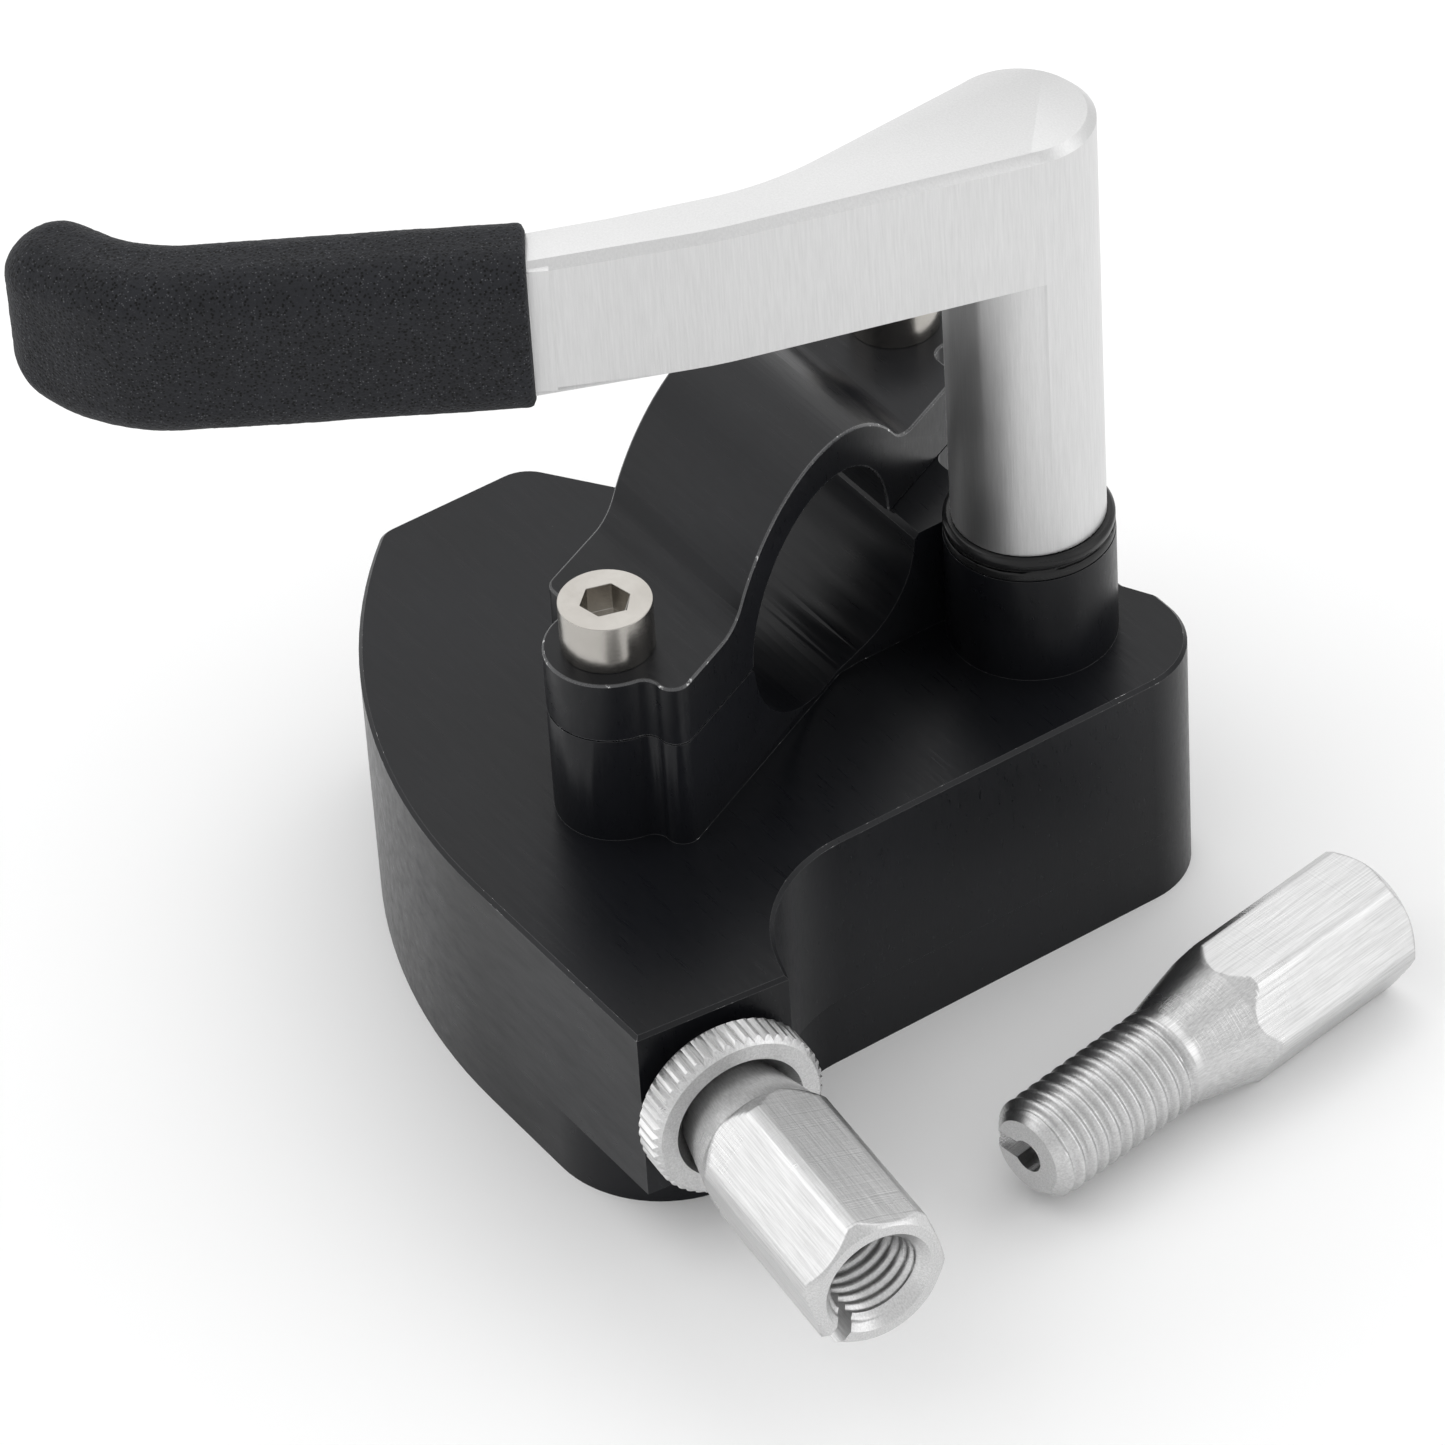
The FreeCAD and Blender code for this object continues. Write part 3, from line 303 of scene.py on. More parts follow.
plainLooks = {
    "stainlessSteel": {                    # screw heads: a warm grey with a fine drawn grain
        "dark": (0.43, 0.41, 0.38, 1.0), "pale": (0.50, 0.48, 0.45, 1.0),
        "shader": (0.24, 1.0), "grain": ((0.4, 0.4, 1.0), 4200.0, 240.0),
        "roughness": (0.20, 0.27), "bump": 0.04},
    "springSteel": {                       # oiled dark steel of the hidden spring, clip and pins
        "dark": grey(0.10), "pale": grey(0.22),
        "shader": (0.3, 1.0), "grain": (even, 1800.0, 260.0),
        "roughness": (0.22, 0.38), "bump": 0.1},
    "blackAcetal": {                       # turned plastic of the bearing under the post
        "dark": grey(0.006, 0.03), "pale": grey(0.012, 0.03),
        "shader": (0.3, 0.0, 0.3), "grain": ((0.15, 0.15, 1.0), 2600.0, 120.0),
        "roughness": (0.24, 0.36), "bump": 0.12},
    "sealRubber": {                        # matte black
        "dark": grey(0.008), "pale": grey(0.016),
        "shader": (0.6, 0.0, 0.4), "grain": (even, 3000.0, 300.0),
        "roughness": (0.5, 0.7), "bump": 0.2},
    "bearingBronze": {                     # turned
        "dark": (0.42, 0.27, 0.12, 1.0), "pale": (0.60, 0.42, 0.20, 1.0),
        "shader": (0.3, 1.0), "grain": ((0.3, 0.3, 1.0), 2600.0, 200.0),
        "roughness": (0.24, 0.40), "bump": 0.15},
}


# Finish of a single grain: its clouds colour it, its fine part changes gloss and height.
def makePlain(name):
    look = plainLooks[name]
    material, tree, shader, place = newMaterial(name, *look["shader"])
    grain = useGrain(tree, place, *look["grain"])
    connect(tree, shader, clouded(tree, grain["Cloud"], look),
            mapped(tree, grain["Grain"], *look["roughness"]))
    addBump(tree, shader, [(grain["Grain"], look["bump"])])
    return material


# Closed-cell foam: charcoal with paler specks and near-black painted shade in its open pores. Two cell patterns,
# both shifted by the same noise, give the pore shade and the specks. A cell's own colour sets how strong it shows.
def makeFoam():
    look = {
        "poreShadeColour": grey(0.0010, 0.02),
        "body": grey(0.0205, 0.11),
        "dim": grey(0.0145, 0.09),
        "speck": grey(0.090, 0.05),
        "shift": 0.00012,                  # metres
        "poreShadeEdge": (0.26, 0.50),          # distance from a cell's middle: full, none
        "poreShadeTone": (0.25, 0.50),
        "speckEdge": (0.20, 0.42),
        "speckChance": (0.77, 0.90),
        "roughness": (0.75, 0.95),
        "cellBump": 0.30,
        "brokenBump": 0.35,
        "relief": 0.00025,                 # metres
        "sheen": 0.06,
        "sheenRoughness": 0.5,
    }
    material, tree, shader, place = newMaterial("gripFoam", 0.85, 0.0, 0.25)
    broken = addNode(tree, "TexNoise", {"Vector": place, "Scale": 2300.0, "Detail": 4.0,
                                        "Roughness": 0.75})
    slow = addNode(tree, "TexNoise", {"Vector": place, "Scale": 260.0, "Detail": 2.0})
    jitter = addNode(tree, "VectorMath", {0: broken.outputs["Color"], 1: (look["shift"],) * 3},
                     operation="MULTIPLY")
    shifted = addNode(tree, "VectorMath", {0: place, 1: jitter.outputs[0]}, operation="ADD").outputs[0]
    cells = addNode(tree, "TexVoronoi", {"Vector": shifted, "Scale": 3300.0, "Randomness": 1.0})
    grains = addNode(tree, "TexVoronoi", {"Vector": shifted, "Scale": 5200.0, "Randomness": 1.0})
    tone = addNode(tree, "SeparateColor", {"Color": cells.outputs["Color"]}).outputs["Red"]
    chance = addNode(tree, "SeparateColor", {"Color": grains.outputs["Color"]}).outputs["Green"]
    # The near-black pore colour is painted shade inside the open cells of the foam.
    hole = mapped(tree, cells.outputs["Distance"], 1.0, 0.0, *look["poreShadeEdge"])
    poreShade = addNode(tree, "Math", {0: hole, 1: mapped(tree, tone, 0.0, 1.0, *look["poreShadeTone"])},
                    operation="MULTIPLY")
    crumb = mapped(tree, grains.outputs["Distance"], 1.0, 0.0, *look["speckEdge"])
    pale = addNode(tree, "Math", {0: crumb, 1: mapped(tree, chance, 0.0, 1.0, *look["speckChance"])},
                   operation="MULTIPLY")
    base = mixed(tree, mapped(tree, slow.outputs["Fac"], 0.0, 0.6), look["body"], look["dim"])
    speckled = mixed(tree, pale.outputs[0], base, look["speck"])
    connect(tree, shader, mixed(tree, poreShade.outputs[0], speckled, look["poreShadeColour"]),
            mapped(tree, broken.outputs["Fac"], *look["roughness"]))
    layers = [(cells.outputs["Distance"], look["cellBump"]),
              (broken.outputs["Fac"], look["brokenBump"])]
    addBump(tree, shader, layers, look["relief"])
    shader.inputs["Sheen Weight"].default_value = look["sheen"]
    shader.inputs["Sheen Roughness"].default_value = look["sheenRoughness"]
    return material


cableAxis = Vector(jointAt["adapter_turn"]["axis"]).normalized()
cableTurn = math.atan2(cableAxis.y, cableAxis.x)
spare = {"turn": math.radians(99.0)}       # from X to the loose adapter's axis, tip to mouth
finishes = {
    "black_anodised": makeBlackAnodised(),
    "satin_aluminium": makeSatinAluminium(),
    "stainless": makePlain("stainlessSteel"),
    "spring_steel": makePlain("springSteel"),
    "black_acetal": makePlain("blackAcetal"),
    "seal_rubber": makePlain("sealRubber"),
    "bearing_bronze": makePlain("bearingBronze"),
    "grip_foam": makeFoam(),
    "bright_aluminium": makeTurnedAluminium("brightAluminium", cableTurn),
}
edgeWearAndHighlight = makeEdgeWearAndHighlight()
spareAluminium = makeTurnedAluminium("brightAluminiumSpare", spare["turn"])
slotOf = {row["node"]: row["material_slot"] for row in frame["record"]["subparts"]}
bodies = frame["record"]["behaviour"]["bodies"]
bodyOf = {node: body for body, members in bodies.items() for node in members}
for nodeName, cadObject in nodes.items():
    cadObject.data.materials.clear()
    cadObject.data.materials.append(finishes[slotOf[nodeName]])
print("finishes made:", len(bpy.data.materials))


# A finished piece that stands for one CAD node and moves with its body.
def newPiece(name, mesh, nodeName, materials, smoothAngle):
    piece = bpy.data.objects.new(name, mesh)
    bpy.context.scene.collection.objects.link(piece)
    mesh.materials.clear()
    for material in materials:
        mesh.materials.append(material)
    mesh.polygons.foreach_set("use_smooth", np.ones(len(mesh.polygons), bool))
    mesh.set_sharp_from_angle(angle=smoothAngle)
    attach(piece, bodyOf[nodeName])
    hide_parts(nodeName)
    return piece


machining = {
    "merge": 0.000002,                     # metres within which a copy's loose corners join
    "flat": math.radians(0.4),             # faces that turn less than this become one
    "edge": math.radians(32),              # edges that turn more than this are broken
    "segments": 2,
    "chamferSlack": 0.03,                  # how far a chamfer's normal may differ in its upward part
}


# The node's own shape with its corners broken; the narrow new faces take the last material, and so do the 45
# degree chamfers round the top.
# On anodised parts that last material carries the edges' wear together with a painted highlight for their light
# lines.
def machinedPiece(name, nodeName, bevel, materials, chamferWearAndHighlight):
    shape = bmesh.new()
    shape.from_mesh(nodes[nodeName].data)
    bmesh.ops.remove_doubles(shape, verts=shape.verts, dist=machining["merge"])
    bmesh.ops.dissolve_limit(shape, angle_limit=machining["flat"], verts=shape.verts, edges=shape.edges)
    if chamferWearAndHighlight:
        # Upward 45 degree chamfers take the edge finish too, so its painted highlight shows on them as light
        # strips.
        for face in shape.faces:
            if abs(face.normal.z - math.sqrt(0.5)) < machining["chamferSlack"]:
                face.material_index = len(materials) - 1
    mesh = bpy.data.meshes.new(name)
    shape.to_mesh(mesh)
    shape.free()
    piece = newPiece(name, mesh, nodeName, materials, machining["edge"])
    modifier = piece.modifiers.new("brokenCorners", "BEVEL")
    modifier.width = bevel
    modifier.segments = machining["segments"]
    modifier.limit_method = "ANGLE"
    modifier.angle_limit = machining["edge"]
    modifier.harden_normals = True
    modifier.miter_outer = "MITER_ARC"
    modifier.material = len(materials) - 1


anodised = [finishes["black_anodised"], edgeWearAndHighlight]
machined = {        # piece: its node, width of its broken corners in metres, finishes, whether its 45 degree chamfers take the worn and painted-highlight edge finish
    "housing_body": ("housing", 0.00012, anodised, True),
    "cover_bottom": ("cover_plate", 0.00018, anodised, False),
    "bar_clamp_cap": ("clamp_cap", 0.00022, anodised, False),
    "lever_body": ("lever_arm", 0.00018, [finishes["satin_aluminium"]], False),
    "clamp_socket_screws": ("clamp_screws", 0.00022, [finishes["stainless"]], False),
    "post_bearing": ("upper_bush", 0.00018, [finishes["black_acetal"]], False),
    "knurled_locknut": ("adapter_locknut", 0.00006, [finishes["bright_aluminium"]], False),
}
for pieceName, facts in machined.items():
    machinedPiece(pieceName, *facts)
print("machined pieces made:", len(machined))


grip = {                                   # millimetres
    "turn": math.radians(57.5),            # of the lever's own frame at rest
    "path": ((-43.1, -15.44), (-77.5, -15.44), (-83.6, -10.8)),
    "bendRadius": 14.0,
    "halfWidth": 4.67,
    "cornerRadius": 3.58,
    "lowerRound": (8.8, 6.0),              # rounding of the tip from below: length and height
    "upperRound": (4.1, 1.3),
    "rim": 0.7,                            # rounding of the cut end
    "step": 0.24,                          # distance between rings
    "tipRings": 60,
    "flatPoints": 5,
    "cornerPoints": 22,
    "sidePoints": 36,
    "cutPoints": 24,
    "tooth": 0.055,                        # depth of the open cells
    "cell": 0.42,                          # their size
    "fineCell": 0.45,                      # size of the finer cells as a share of that
    "fineTooth": 0.5,                      # their depth as a share of tooth
    "wave": 0.16,                          # slow unevenness of the skin
    "waveSize": 4.5,
    "smoothAngle": math.radians(60),
}


# Smooth noise from 0 to 1: random values on a cubic lattice, blended between its corners.
def latticeNoise(points, size, seed):
    side = 64                              # lattice points before the noise repeats
    table = np.random.default_rng(seed).random((side, side, side))
    scaled = points / size
    base = np.floor(scaled).astype(int)
    part = scaled - base
    part = part * part * (3 - 2 * part)
    total = np.zeros(points.shape[:-1])
    for offset in np.ndindex(2, 2, 2):
        index = (base + np.array(offset)) % side
        weight = np.prod(np.where(np.array(offset) == 1, part, 1 - part), axis=-1)
        total += weight * table[index[..., 0], index[..., 1], index[..., 2]]
    return total


# Points and directions of a centre line: a straight run, an arc at the middle point, a straight run.
def bentPath(points, radius, step):
    start, bend, end = [np.array(p, float) for p in points]
    first = (bend - start) / np.linalg.norm(bend - start)
    second = (end - bend) / np.linalg.norm(end - bend)
    turn = math.atan2(first[0] * second[1] - first[1] * second[0], first @ second)
    reach = radius * math.tan(abs(turn) / 2)
    runs = (np.linalg.norm(bend - start) - reach, radius * abs(turn),
            np.linalg.norm(end - bend) - reach)
    total = sum(runs)
    distance = np.linspace(0, total, int(total / step) + 1)
    share = np.clip((distance - runs[0]) / runs[1], 0, 1)
    angle = math.atan2(first[1], first[0]) + turn * share
    direction = np.stack([np.cos(angle), np.sin(angle)], axis=1)
    gaps = np.diff(distance)[:, None] * (direction[1:] + direction[:-1]) / 2
    places = np.concatenate([[start], start + np.cumsum(gaps, axis=0)])
    return places + (end - places[-1]) * (distance / total)[:, None], direction


# Numbers of a grid's points, row after row.
def gridIndex(rows, columns):
    return np.arange(rows * columns).reshape(rows, columns)


# Quads between the neighbouring rows and columns of a grid of point numbers.
def gridFaces(index):
    quads = np.stack([index[:-1, :-1], index[1:, :-1], index[1:, 1:], index[:-1, 1:]], axis=-1)
    return quads.reshape(-1, 4)


# The two level coordinates after a turn about Z.
def turnedLevel(x, y, turn):
    return x * math.cos(turn) - y * math.sin(turn), x * math.sin(turn) + y * math.cos(turn)


# Mesh from points in millimetres, merged where they meet, with its faces turned outwards.
def closedMesh(name, points, faces):
    merge = 0.000001                       # metres
    sliver = 0.0000001                     # metres
    mesh = bpy.data.meshes.new(name)
    mesh.from_pydata((points * millimetre).tolist(), [], faces.tolist())
    shape = bmesh.new()
    shape.from_mesh(mesh)
    bmesh.ops.remove_doubles(shape, verts=shape.verts, dist=merge)
    bmesh.ops.dissolve_degenerate(shape, edges=shape.edges, dist=sliver)
    bmesh.ops.recalc_face_normals(shape, faces=shape.faces)
    shape.to_mesh(mesh)
    shape.free()
    return mesh


# Half section from the bottom's middle, out round the side, to the top's middle. Columns: inset from
# the outline, height, and the outward direction's two parts.
def gripProfile(half, high, corner):
    flat = np.linspace(half, corner, grip["flatPoints"])[:-1]
    bend = np.linspace(0, math.pi / 2, grip["cornerPoints"])
    side = np.linspace(-(high - corner), high - corner, grip["sidePoints"])[1:-1]
    lower = np.stack([corner * (1 - np.sin(bend)), -(high - corner) - corner * np.cos(bend),
                      np.sin(bend), -np.cos(bend)], axis=1)
    bottom = np.stack([flat, np.full_like(flat, -high), np.zeros_like(flat), -np.ones_like(flat)],
                      axis=1)
    wall = np.stack([np.zeros_like(side), side, np.ones_like(side), np.zeros_like(side)], axis=1)
    below = np.concatenate([bottom, lower])
    above = below[::-1] * np.array([1.0, -1.0, 1.0, -1.0])
    return np.concatenate([below, wall, above])


# Half height of the grip near its tip: full, less a quarter ellipse over the last stretch.
def tipHeight(toTip, tall, rounding):
    length, drop = rounding
    share = np.clip(1 - toTip / length, 0, 1)
    return tall - drop * (1 - np.sqrt(1 - share * share))


# Points sunk against their outward directions by the noise of the open cells.
def sunk(points, outward):
    cells = latticeNoise(points, grip["cell"], 3) ** 2
    fine = latticeNoise(points, grip["cell"] * grip["fineCell"], 5)
    slow = latticeNoise(points, grip["waveSize"], 7)
    depth = grip["tooth"] * (cells + grip["fineTooth"] * fine) + grip["wave"] * slow * slow
    return points - outward * depth[..., None]


# The half section is carried along one side of the path, round its end and back along the other. Each
# point stands at the centre line plus its spoke times (half width less inset), then sinks along the
# outward direction by the noise of the open cells. The cut end is a grid between the first section and
# the last.
def makeGrip():
    low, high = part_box("foam_grip")
    middle = (low.z + high.z) / 2 / millimetre
    tall = (high.z - low.z) / 2 / millimetre
    half = grip["halfWidth"]
    rim = grip["rim"]
    places, directions = bentPath(grip["path"], grip["bendRadius"], grip["step"])
    left = np.stack([-directions[:, 1], directions[:, 0]], axis=1)
    tipTurn = np.linspace(0, math.pi, grip["tipRings"])[1:-1]
    tipAngle = math.atan2(left[-1][1], left[-1][0]) - tipTurn
    tipSpokes = np.stack([np.cos(tipAngle), np.sin(tipAngle)], axis=1)
    centres = np.concatenate([places, np.repeat(places[-1:], len(tipAngle), axis=0), places[::-1]])
    spokes = np.concatenate([left, tipSpokes, -left[::-1]])
    profile = gripProfile(half, tall, grip["cornerRadius"])
    reach = (half - profile[:, 0])[None, :, None]
    plan = centres[:, None, :] + spokes[:, None, :] * reach
    rows, columns = plan.shape[:2]

    travel = grip["step"] * (len(places) - 1)
    along = np.concatenate([np.linspace(0, travel, len(places)), np.full(len(tipAngle), travel),
                            np.linspace(travel, 0, len(places))])
    atTip = along > travel - 0.01
    forward = np.maximum(spokes @ directions[-1], 0) * atTip
    toTip = travel + half - along[:, None] - forward[:, None] * reach[None, 0, :, 0]
    lower = tipHeight(toTip, tall, grip["lowerRound"])
    upper = tipHeight(toTip, tall, grip["upperRound"])
    heights = middle + profile[None, :, 1] * np.where(profile[None, :, 1] < 0, lower, upper) / tall
    points = np.concatenate([plan, heights[..., None]], axis=-1)
    outward = np.concatenate([spokes[:, None, :] * profile[None, :, 2:3],
                              np.broadcast_to(profile[None, :, 3:4], (rows, columns, 1))], axis=-1)

    cutAcross = np.linspace(0, 1, grip["cutPoints"])[None, :, None]
    inner = points - outward * rim
    cut = inner[0][:, None, :] * (1 - cutAcross) + inner[-1][:, None, :] * cutAcross
    intoFoam = np.array([directions[0][0], directions[0][1], 0.0])
    rimShare = np.clip(1 - along / rim, 0, 1)
    rimInset = rim * (1 - np.sqrt(1 - rimShare * rimShare))
    skin = sunk(points, outward) - outward * rimInset[:, None, None]
    ragged = sunk(cut, np.broadcast_to(-intoFoam, cut.shape))
    ragged[:, 0] = skin[0]
    ragged[:, -1] = skin[-1]

    allPoints = np.concatenate([skin.reshape(-1, 3), ragged.reshape(-1, 3)])
    cutIndex = gridIndex(columns, grip["cutPoints"]) + rows * columns
    faces = np.concatenate([gridFaces(gridIndex(rows, columns)), gridFaces(cutIndex)])
    x, y = turnedLevel(allPoints[:, 0], allPoints[:, 1], grip["turn"])
    mesh = closedMesh("foam_sleeve", np.stack([x, y, allPoints[:, 2]], axis=1), faces)
    piece = newPiece("foam_sleeve", mesh, "foam_grip", [finishes["grip_foam"]], grip["smoothAngle"])


makeGrip()
print("foam grip made")


adapter = {                                # millimetres, from the tip along the axis; radii from it
    "length": 43.87,
    "tip": ((0.0, 1.3), (1.1, 0.2), (1.35, 0.0)),          # chamfer: place and depth under the crest
    "threadEnd": 17.7,
    "runOut": (0.5, 0.9),                  # the groove fades out this far before, over this length
    "crest": 4.95,
    "pitch": 1.5,
    "depth": 0.66,
    "coneEnd": (24.0, 6.35),               # place and radius
    "barrelStart": (25.6, 7.05),
    "flats": 6.35,                         # axis to a flat
    "mouthChamfer": 0.9,
    "hole": 1.6,
    "socket": 4.0,
    "socketDepth": 13.0,
    "socketFloor": 1.4,                    # length of the cone from the hole to the socket
    "funnel": 1.2,                         # countersink of the mouth
    "socketPitch": 1.25,
    "socketThread": 0.42,
    "socketFade": (0.8, 0.6),              # plain stretch at the floor, length over which it starts
    "slit": 0.9,                           # half its width
    "slitAngles": (0.12, 0.3),             # radians: about where its edges are, outside and inside
    "smoothAngle": math.radians(40),
}


# Helical thread groove: 0 on the rounded crest, 1 at the bottom of the groove.
def threadWave(x, angle, pitch):
    phase = x / pitch - angle / (2 * math.pi)
    return ((1 - np.cos(2 * math.pi * phase)) / 2) ** 1.15


# Chamfered tip, thread, cone and barrel, all cut by the six flats.
def outerRadius(x, angle):
    a = adapter
    barrel = a["barrelStart"][1]
    stations = [place for place, depth in a["tip"]] + [
        a["threadEnd"], a["coneEnd"][0], a["barrelStart"][0],
        a["length"] - a["mouthChamfer"], a["length"]]
    radii = [a["crest"] - depth for place, depth in a["tip"]] + [
        a["crest"], a["coneEnd"][1], barrel, barrel, barrel - a["mouthChamfer"]]
    turned = np.interp(x, stations, radii)
    fadeGap, fadeLength = a["runOut"]
    full = np.clip((a["threadEnd"] - fadeGap - x) / fadeLength, 0, 1)
    root = a["crest"] - a["depth"] * threadWave(x, angle, a["pitch"])
    grooved = np.minimum(turned, root * full + turned * (1 - full))
    threaded = np.where(x < a["threadEnd"], grooved, turned)
    toFlat = np.mod(angle, math.pi / 3) - math.pi / 6
    return np.minimum(threaded, a["flats"] / np.cos(toFlat))


# Cable hole, its step, and the threaded socket that flares at the mouth.
def innerRadius(x, angle):
    a = adapter
    floor = a["length"] - a["socketDepth"]
    plain = np.interp(x, [0.0, floor - a["socketFloor"], floor, a["length"] - a["funnel"], a["length"]],
                      [a["hole"], a["hole"], a["socket"], a["socket"], a["socket"] + a["funnel"]])
    gap, fade = a["socketFade"]
    starting = np.clip((x - floor - gap) / fade, 0, 1)
    ending = np.clip((a["length"] - a["funnel"] / 2 - x) / fade, 0, 1)
    return plain + starting * ending * a["socketThread"] * threadWave(x, angle, a["socketPitch"])


# Places along the axis, close together where the shape turns.
def adapterStations():
    a = adapter
    floor = a["length"] - a["socketDepth"]
    mouth = a["length"] - a["funnel"]
    chamfer = a["tip"][1][0]
    shoulderStart = a["coneEnd"][0] - 0.1
    shoulderEnd = a["barrelStart"][0] + 0.1
    runs = [        # start, end, how many
        (0.0, chamfer, 6),
        (chamfer, a["threadEnd"], 160),
        (a["threadEnd"], shoulderStart, 12),
        (shoulderStart, shoulderEnd, 30),
        (shoulderEnd, floor, 10),
        (floor, mouth, 104),
        (mouth, a["length"], 14),
    ]
    places = np.concatenate([np.linspace(start, end, count) for start, end, count in runs])
    return np.unique(places.round(5))


# Angles round the axis from one side of the slit to the other, with pairs at every flat's edge. Between
# two flats a band of the round barrel is left. Degrees until the last line.
def flatAngles():
    flatTurn = 60.0
    pair = 0.4                             # half the gap in a pair
    first = 13.0                           # clear of the slit
    pointsOnFlat = 16
    band = flatTurn / 2 - math.degrees(math.acos(adapter["flats"] / adapter["barrelStart"][1]))
    angles = []
    for cornerNumber in range(1, 6):
        middle = flatTurn * cornerNumber
        angles += [middle - band - pair, middle - band + pair, middle,
                   middle + band - pair, middle + band + pair]
    edges = [first] + angles + [360.0 - first]
    flats = [np.linspace(edges[5 * i], edges[5 * i + 1], pointsOnFlat) for i in range(6)]
    return np.radians(np.unique(np.concatenate([np.array(edges)] + flats).round(5)))


# Section loop at each station: round the outside from slit wall to slit wall, and back round the hole.
def adapterPoints():
    x = adapterStations()[:, None]
    inner = flatAngles()[None, :]
    half = adapter["slit"]
    outside, inside = adapter["slitAngles"]
    fixed = np.broadcast_to(inner, (len(x), inner.shape[1]))
    outerEdge = np.arcsin(half / outerRadius(x, np.full_like(x, outside)))
    outerAngle = np.concatenate([outerEdge, fixed, 2 * math.pi - outerEdge], axis=1)
    outer = outerRadius(x, outerAngle)
    outer[:, [0, -1]] = half / np.sin(outerEdge)
    share = np.linspace(0, 1, outerAngle.shape[1])[None, :]
    innerEdge = np.arcsin(half / innerRadius(x, np.full_like(x, inside)))
    innerAngle = innerEdge + (2 * math.pi - 2 * innerEdge) * share
    hole = innerRadius(x, innerAngle)
    hole[:, [0, -1]] = half / np.sin(innerEdge)
    loops = [(outer, outerAngle), (hole[:, ::-1], innerAngle[:, ::-1])]
    rounds = [np.stack([np.broadcast_to(x, radius.shape), radius * np.cos(angle),
                        radius * np.sin(angle)], axis=-1) for radius, angle in loops]
    return np.concatenate(rounds, axis=1), outerAngle.shape[1]


# An adapter along its axis, rolled about it, turned about Z and moved to its tip.
def makeAdapter(name, nodeName, tip, turn, roll, material):
    ring, count = adapterPoints()
    rows, columns = ring.shape[:2]
    index = gridIndex(rows, columns)
    walls = gridFaces(np.concatenate([index, index[:, :1]], axis=1))
    ends = []
    for row in (index[0], index[-1]):
        outer = row[:count]
        hole = row[count:][::-1]
        ends.append(np.stack([outer[:-1], outer[1:], hole[1:], hole[:-1]], axis=-1))
    faces = np.concatenate([walls] + ends)
    x, y, z = ring.reshape(-1, 3).T
    y, z = y * math.cos(roll) - z * math.sin(roll), y * math.sin(roll) + z * math.cos(roll)
    x, y = turnedLevel(x, y, turn)
    points = np.stack([x, y, z], axis=1)
    mesh = closedMesh(name, points + np.array(tip) / millimetre, faces)
    newPiece(name, mesh, nodeName, [material], adapter["smoothAngle"])


def nodePoints(nodeName):
    return np.array([corner.co for corner in nodes[nodeName].data.vertices])


# Tip of a turned node that lies along a level axis: its lowest end along it, its middle across it.
def axisStart(nodeName, turn):
    points = nodePoints(nodeName)
    along = points @ np.array([math.cos(turn), math.sin(turn), 0])
    across = points @ np.array([-math.sin(turn), math.cos(turn), 0])
    side = (across.min() + across.max()) / 2
    height = (points[:, 2].min() + points[:, 2].max()) / 2
    return (*turnedLevel(along.min(), side, turn), height)


socket = mountAt["cable_socket"]["pos_m"]
fitted = {"roll": math.radians(-135.0)}    # about its own axis
tipDistance = (nodePoints("cable_adapter") - np.array(socket)) @ np.array(cableAxis)
fittedTip = Vector(socket) + cableAxis * float(tipDistance.min())
spareTip = axisStart("spare_adapter", spare["turn"])
makeAdapter("fitted_adapter", "cable_adapter", fittedTip, cableTurn, fitted["roll"],
            finishes["bright_aluminium"])
makeAdapter("loose_adapter", "spare_adapter", spareTip, spare["turn"], 0.0, spareAluminium)
print("adapters made")


studio = {
    "floorSize": 3.0,
    "floorShade": 0.95,
    "world": 0.84,
    "centre": (-0.01, -0.02, 0.04),        # what the boxes are turned towards
    "lens": 211.8,
    "sensor": 36.0,
    "clip": (0.05, 20.0),
    "cameraPlace": (0.48858, -0.34550, 0.52360),
    "right": (0.5373, 0.8434, 0.0),
    "up": (-0.5455, 0.3475, 0.7627),
    "back": (0.6433, -0.4098, 0.6468),
    "roll": math.radians(3.75),
}
right = Vector(studio["right"])
up = Vector(studio["up"])
back = Vector(studio["back"])


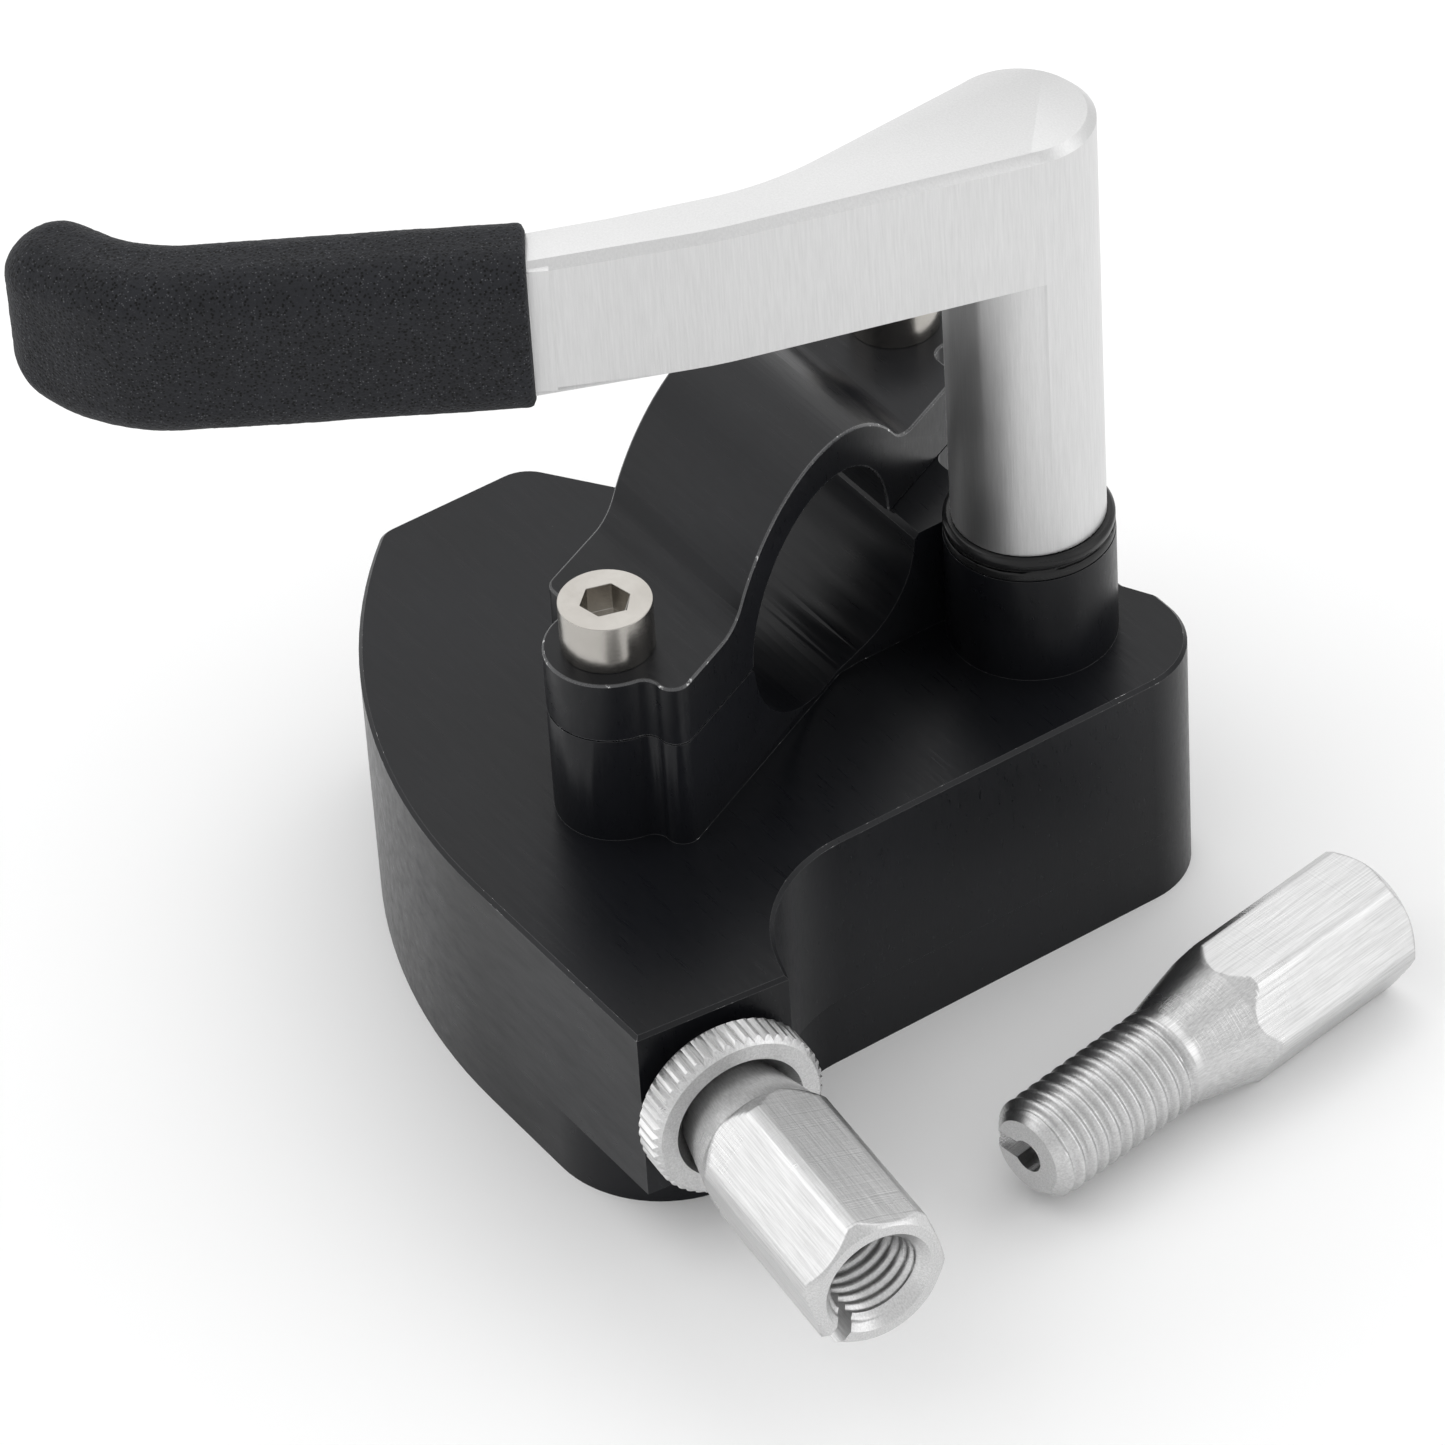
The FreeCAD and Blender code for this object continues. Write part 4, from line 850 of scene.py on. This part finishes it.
def makeFloor():
    size = studio["floorSize"]
    mesh = bpy.data.meshes.new("studio_floor")
    corners = [(-size, -size, 0), (size, -size, 0), (size, size, 0), (-size, size, 0)]
    mesh.from_pydata(corners, [], [(0, 1, 2, 3)])
    floor = bpy.data.objects.new("studio_floor", mesh)
    bpy.context.scene.collection.objects.link(floor)
    material, _, shader, _ = newMaterial("palePaper", 0.8, 0.0, 0.2)
    shader.inputs["Base Color"].default_value = grey(studio["floorShade"])
    mesh.materials.append(material)


# Soft box at a place, turned towards what it lights.
def makeLight(name, place, aim, width, height, power):
    light = bpy.data.lights.new(name, "AREA")
    light.shape = "RECTANGLE"
    light.size = width
    light.size_y = height
    light.energy = power
    box = bpy.data.objects.new(name, light)
    box.location = place
    box.rotation_euler = (Vector(aim) - Vector(place)).to_track_quat("-Z", "Y").to_euler()
    bpy.context.scene.collection.objects.link(box)


# Key box high on the left of the view, a broad box above and behind, a low one at the right.
def makeStudio():
    centre = Vector(studio["centre"])
    level = Vector((back.x, back.y, 0)).normalized()
    rise = Vector((0, 0, 1))
    boxes = {               # offset from the object, width, height, brightness
        "keyBox": (-right * 1.05 + rise * 0.95 - level * 0.15, 1.5, 1.5, 0.86),
        "topBox": (rise * 1.15 - level * 0.75 + right * 0.3, 1.9, 1.1, 0.60),
        "sideBox": (right * 1.0 + rise * 0.45 + level * 0.25, 0.6, 0.9, 0.9),
    }
    for name, (offset, width, height, brightness) in boxes.items():
        makeLight(name, centre + offset, centre, width, height, brightness * math.pi * width * height)
    world = bpy.data.worlds.new("studioWorld")
    world.use_nodes = True
    background = world.node_tree.nodes["Background"]
    background.inputs["Color"].default_value = (1, 1, 1, 1)
    background.inputs["Strength"].default_value = studio["world"]
    bpy.context.scene.world = world
    bpy.context.scene.view_settings.view_transform = "Standard"


# The view's own right and up, rolled a little about the line of sight.
def makeCamera():
    camera = bpy.data.cameras.new("viewCamera")
    camera.lens = studio["lens"]
    camera.sensor_width = studio["sensor"]
    camera.clip_start, camera.clip_end = studio["clip"]
    holder = bpy.data.objects.new("viewCamera", camera)
    across = right * math.cos(studio["roll"]) - up * math.sin(studio["roll"])
    upright = right * math.sin(studio["roll"]) + up * math.cos(studio["roll"])
    facing = Matrix((across, upright, back)).transposed().to_4x4()
    holder.matrix_world = Matrix.Translation(studio["cameraPlace"]) @ facing
    bpy.context.scene.collection.objects.link(holder)
    bpy.context.scene.camera = holder


makeFloor()
makeStudio()
makeCamera()
print("studio made")
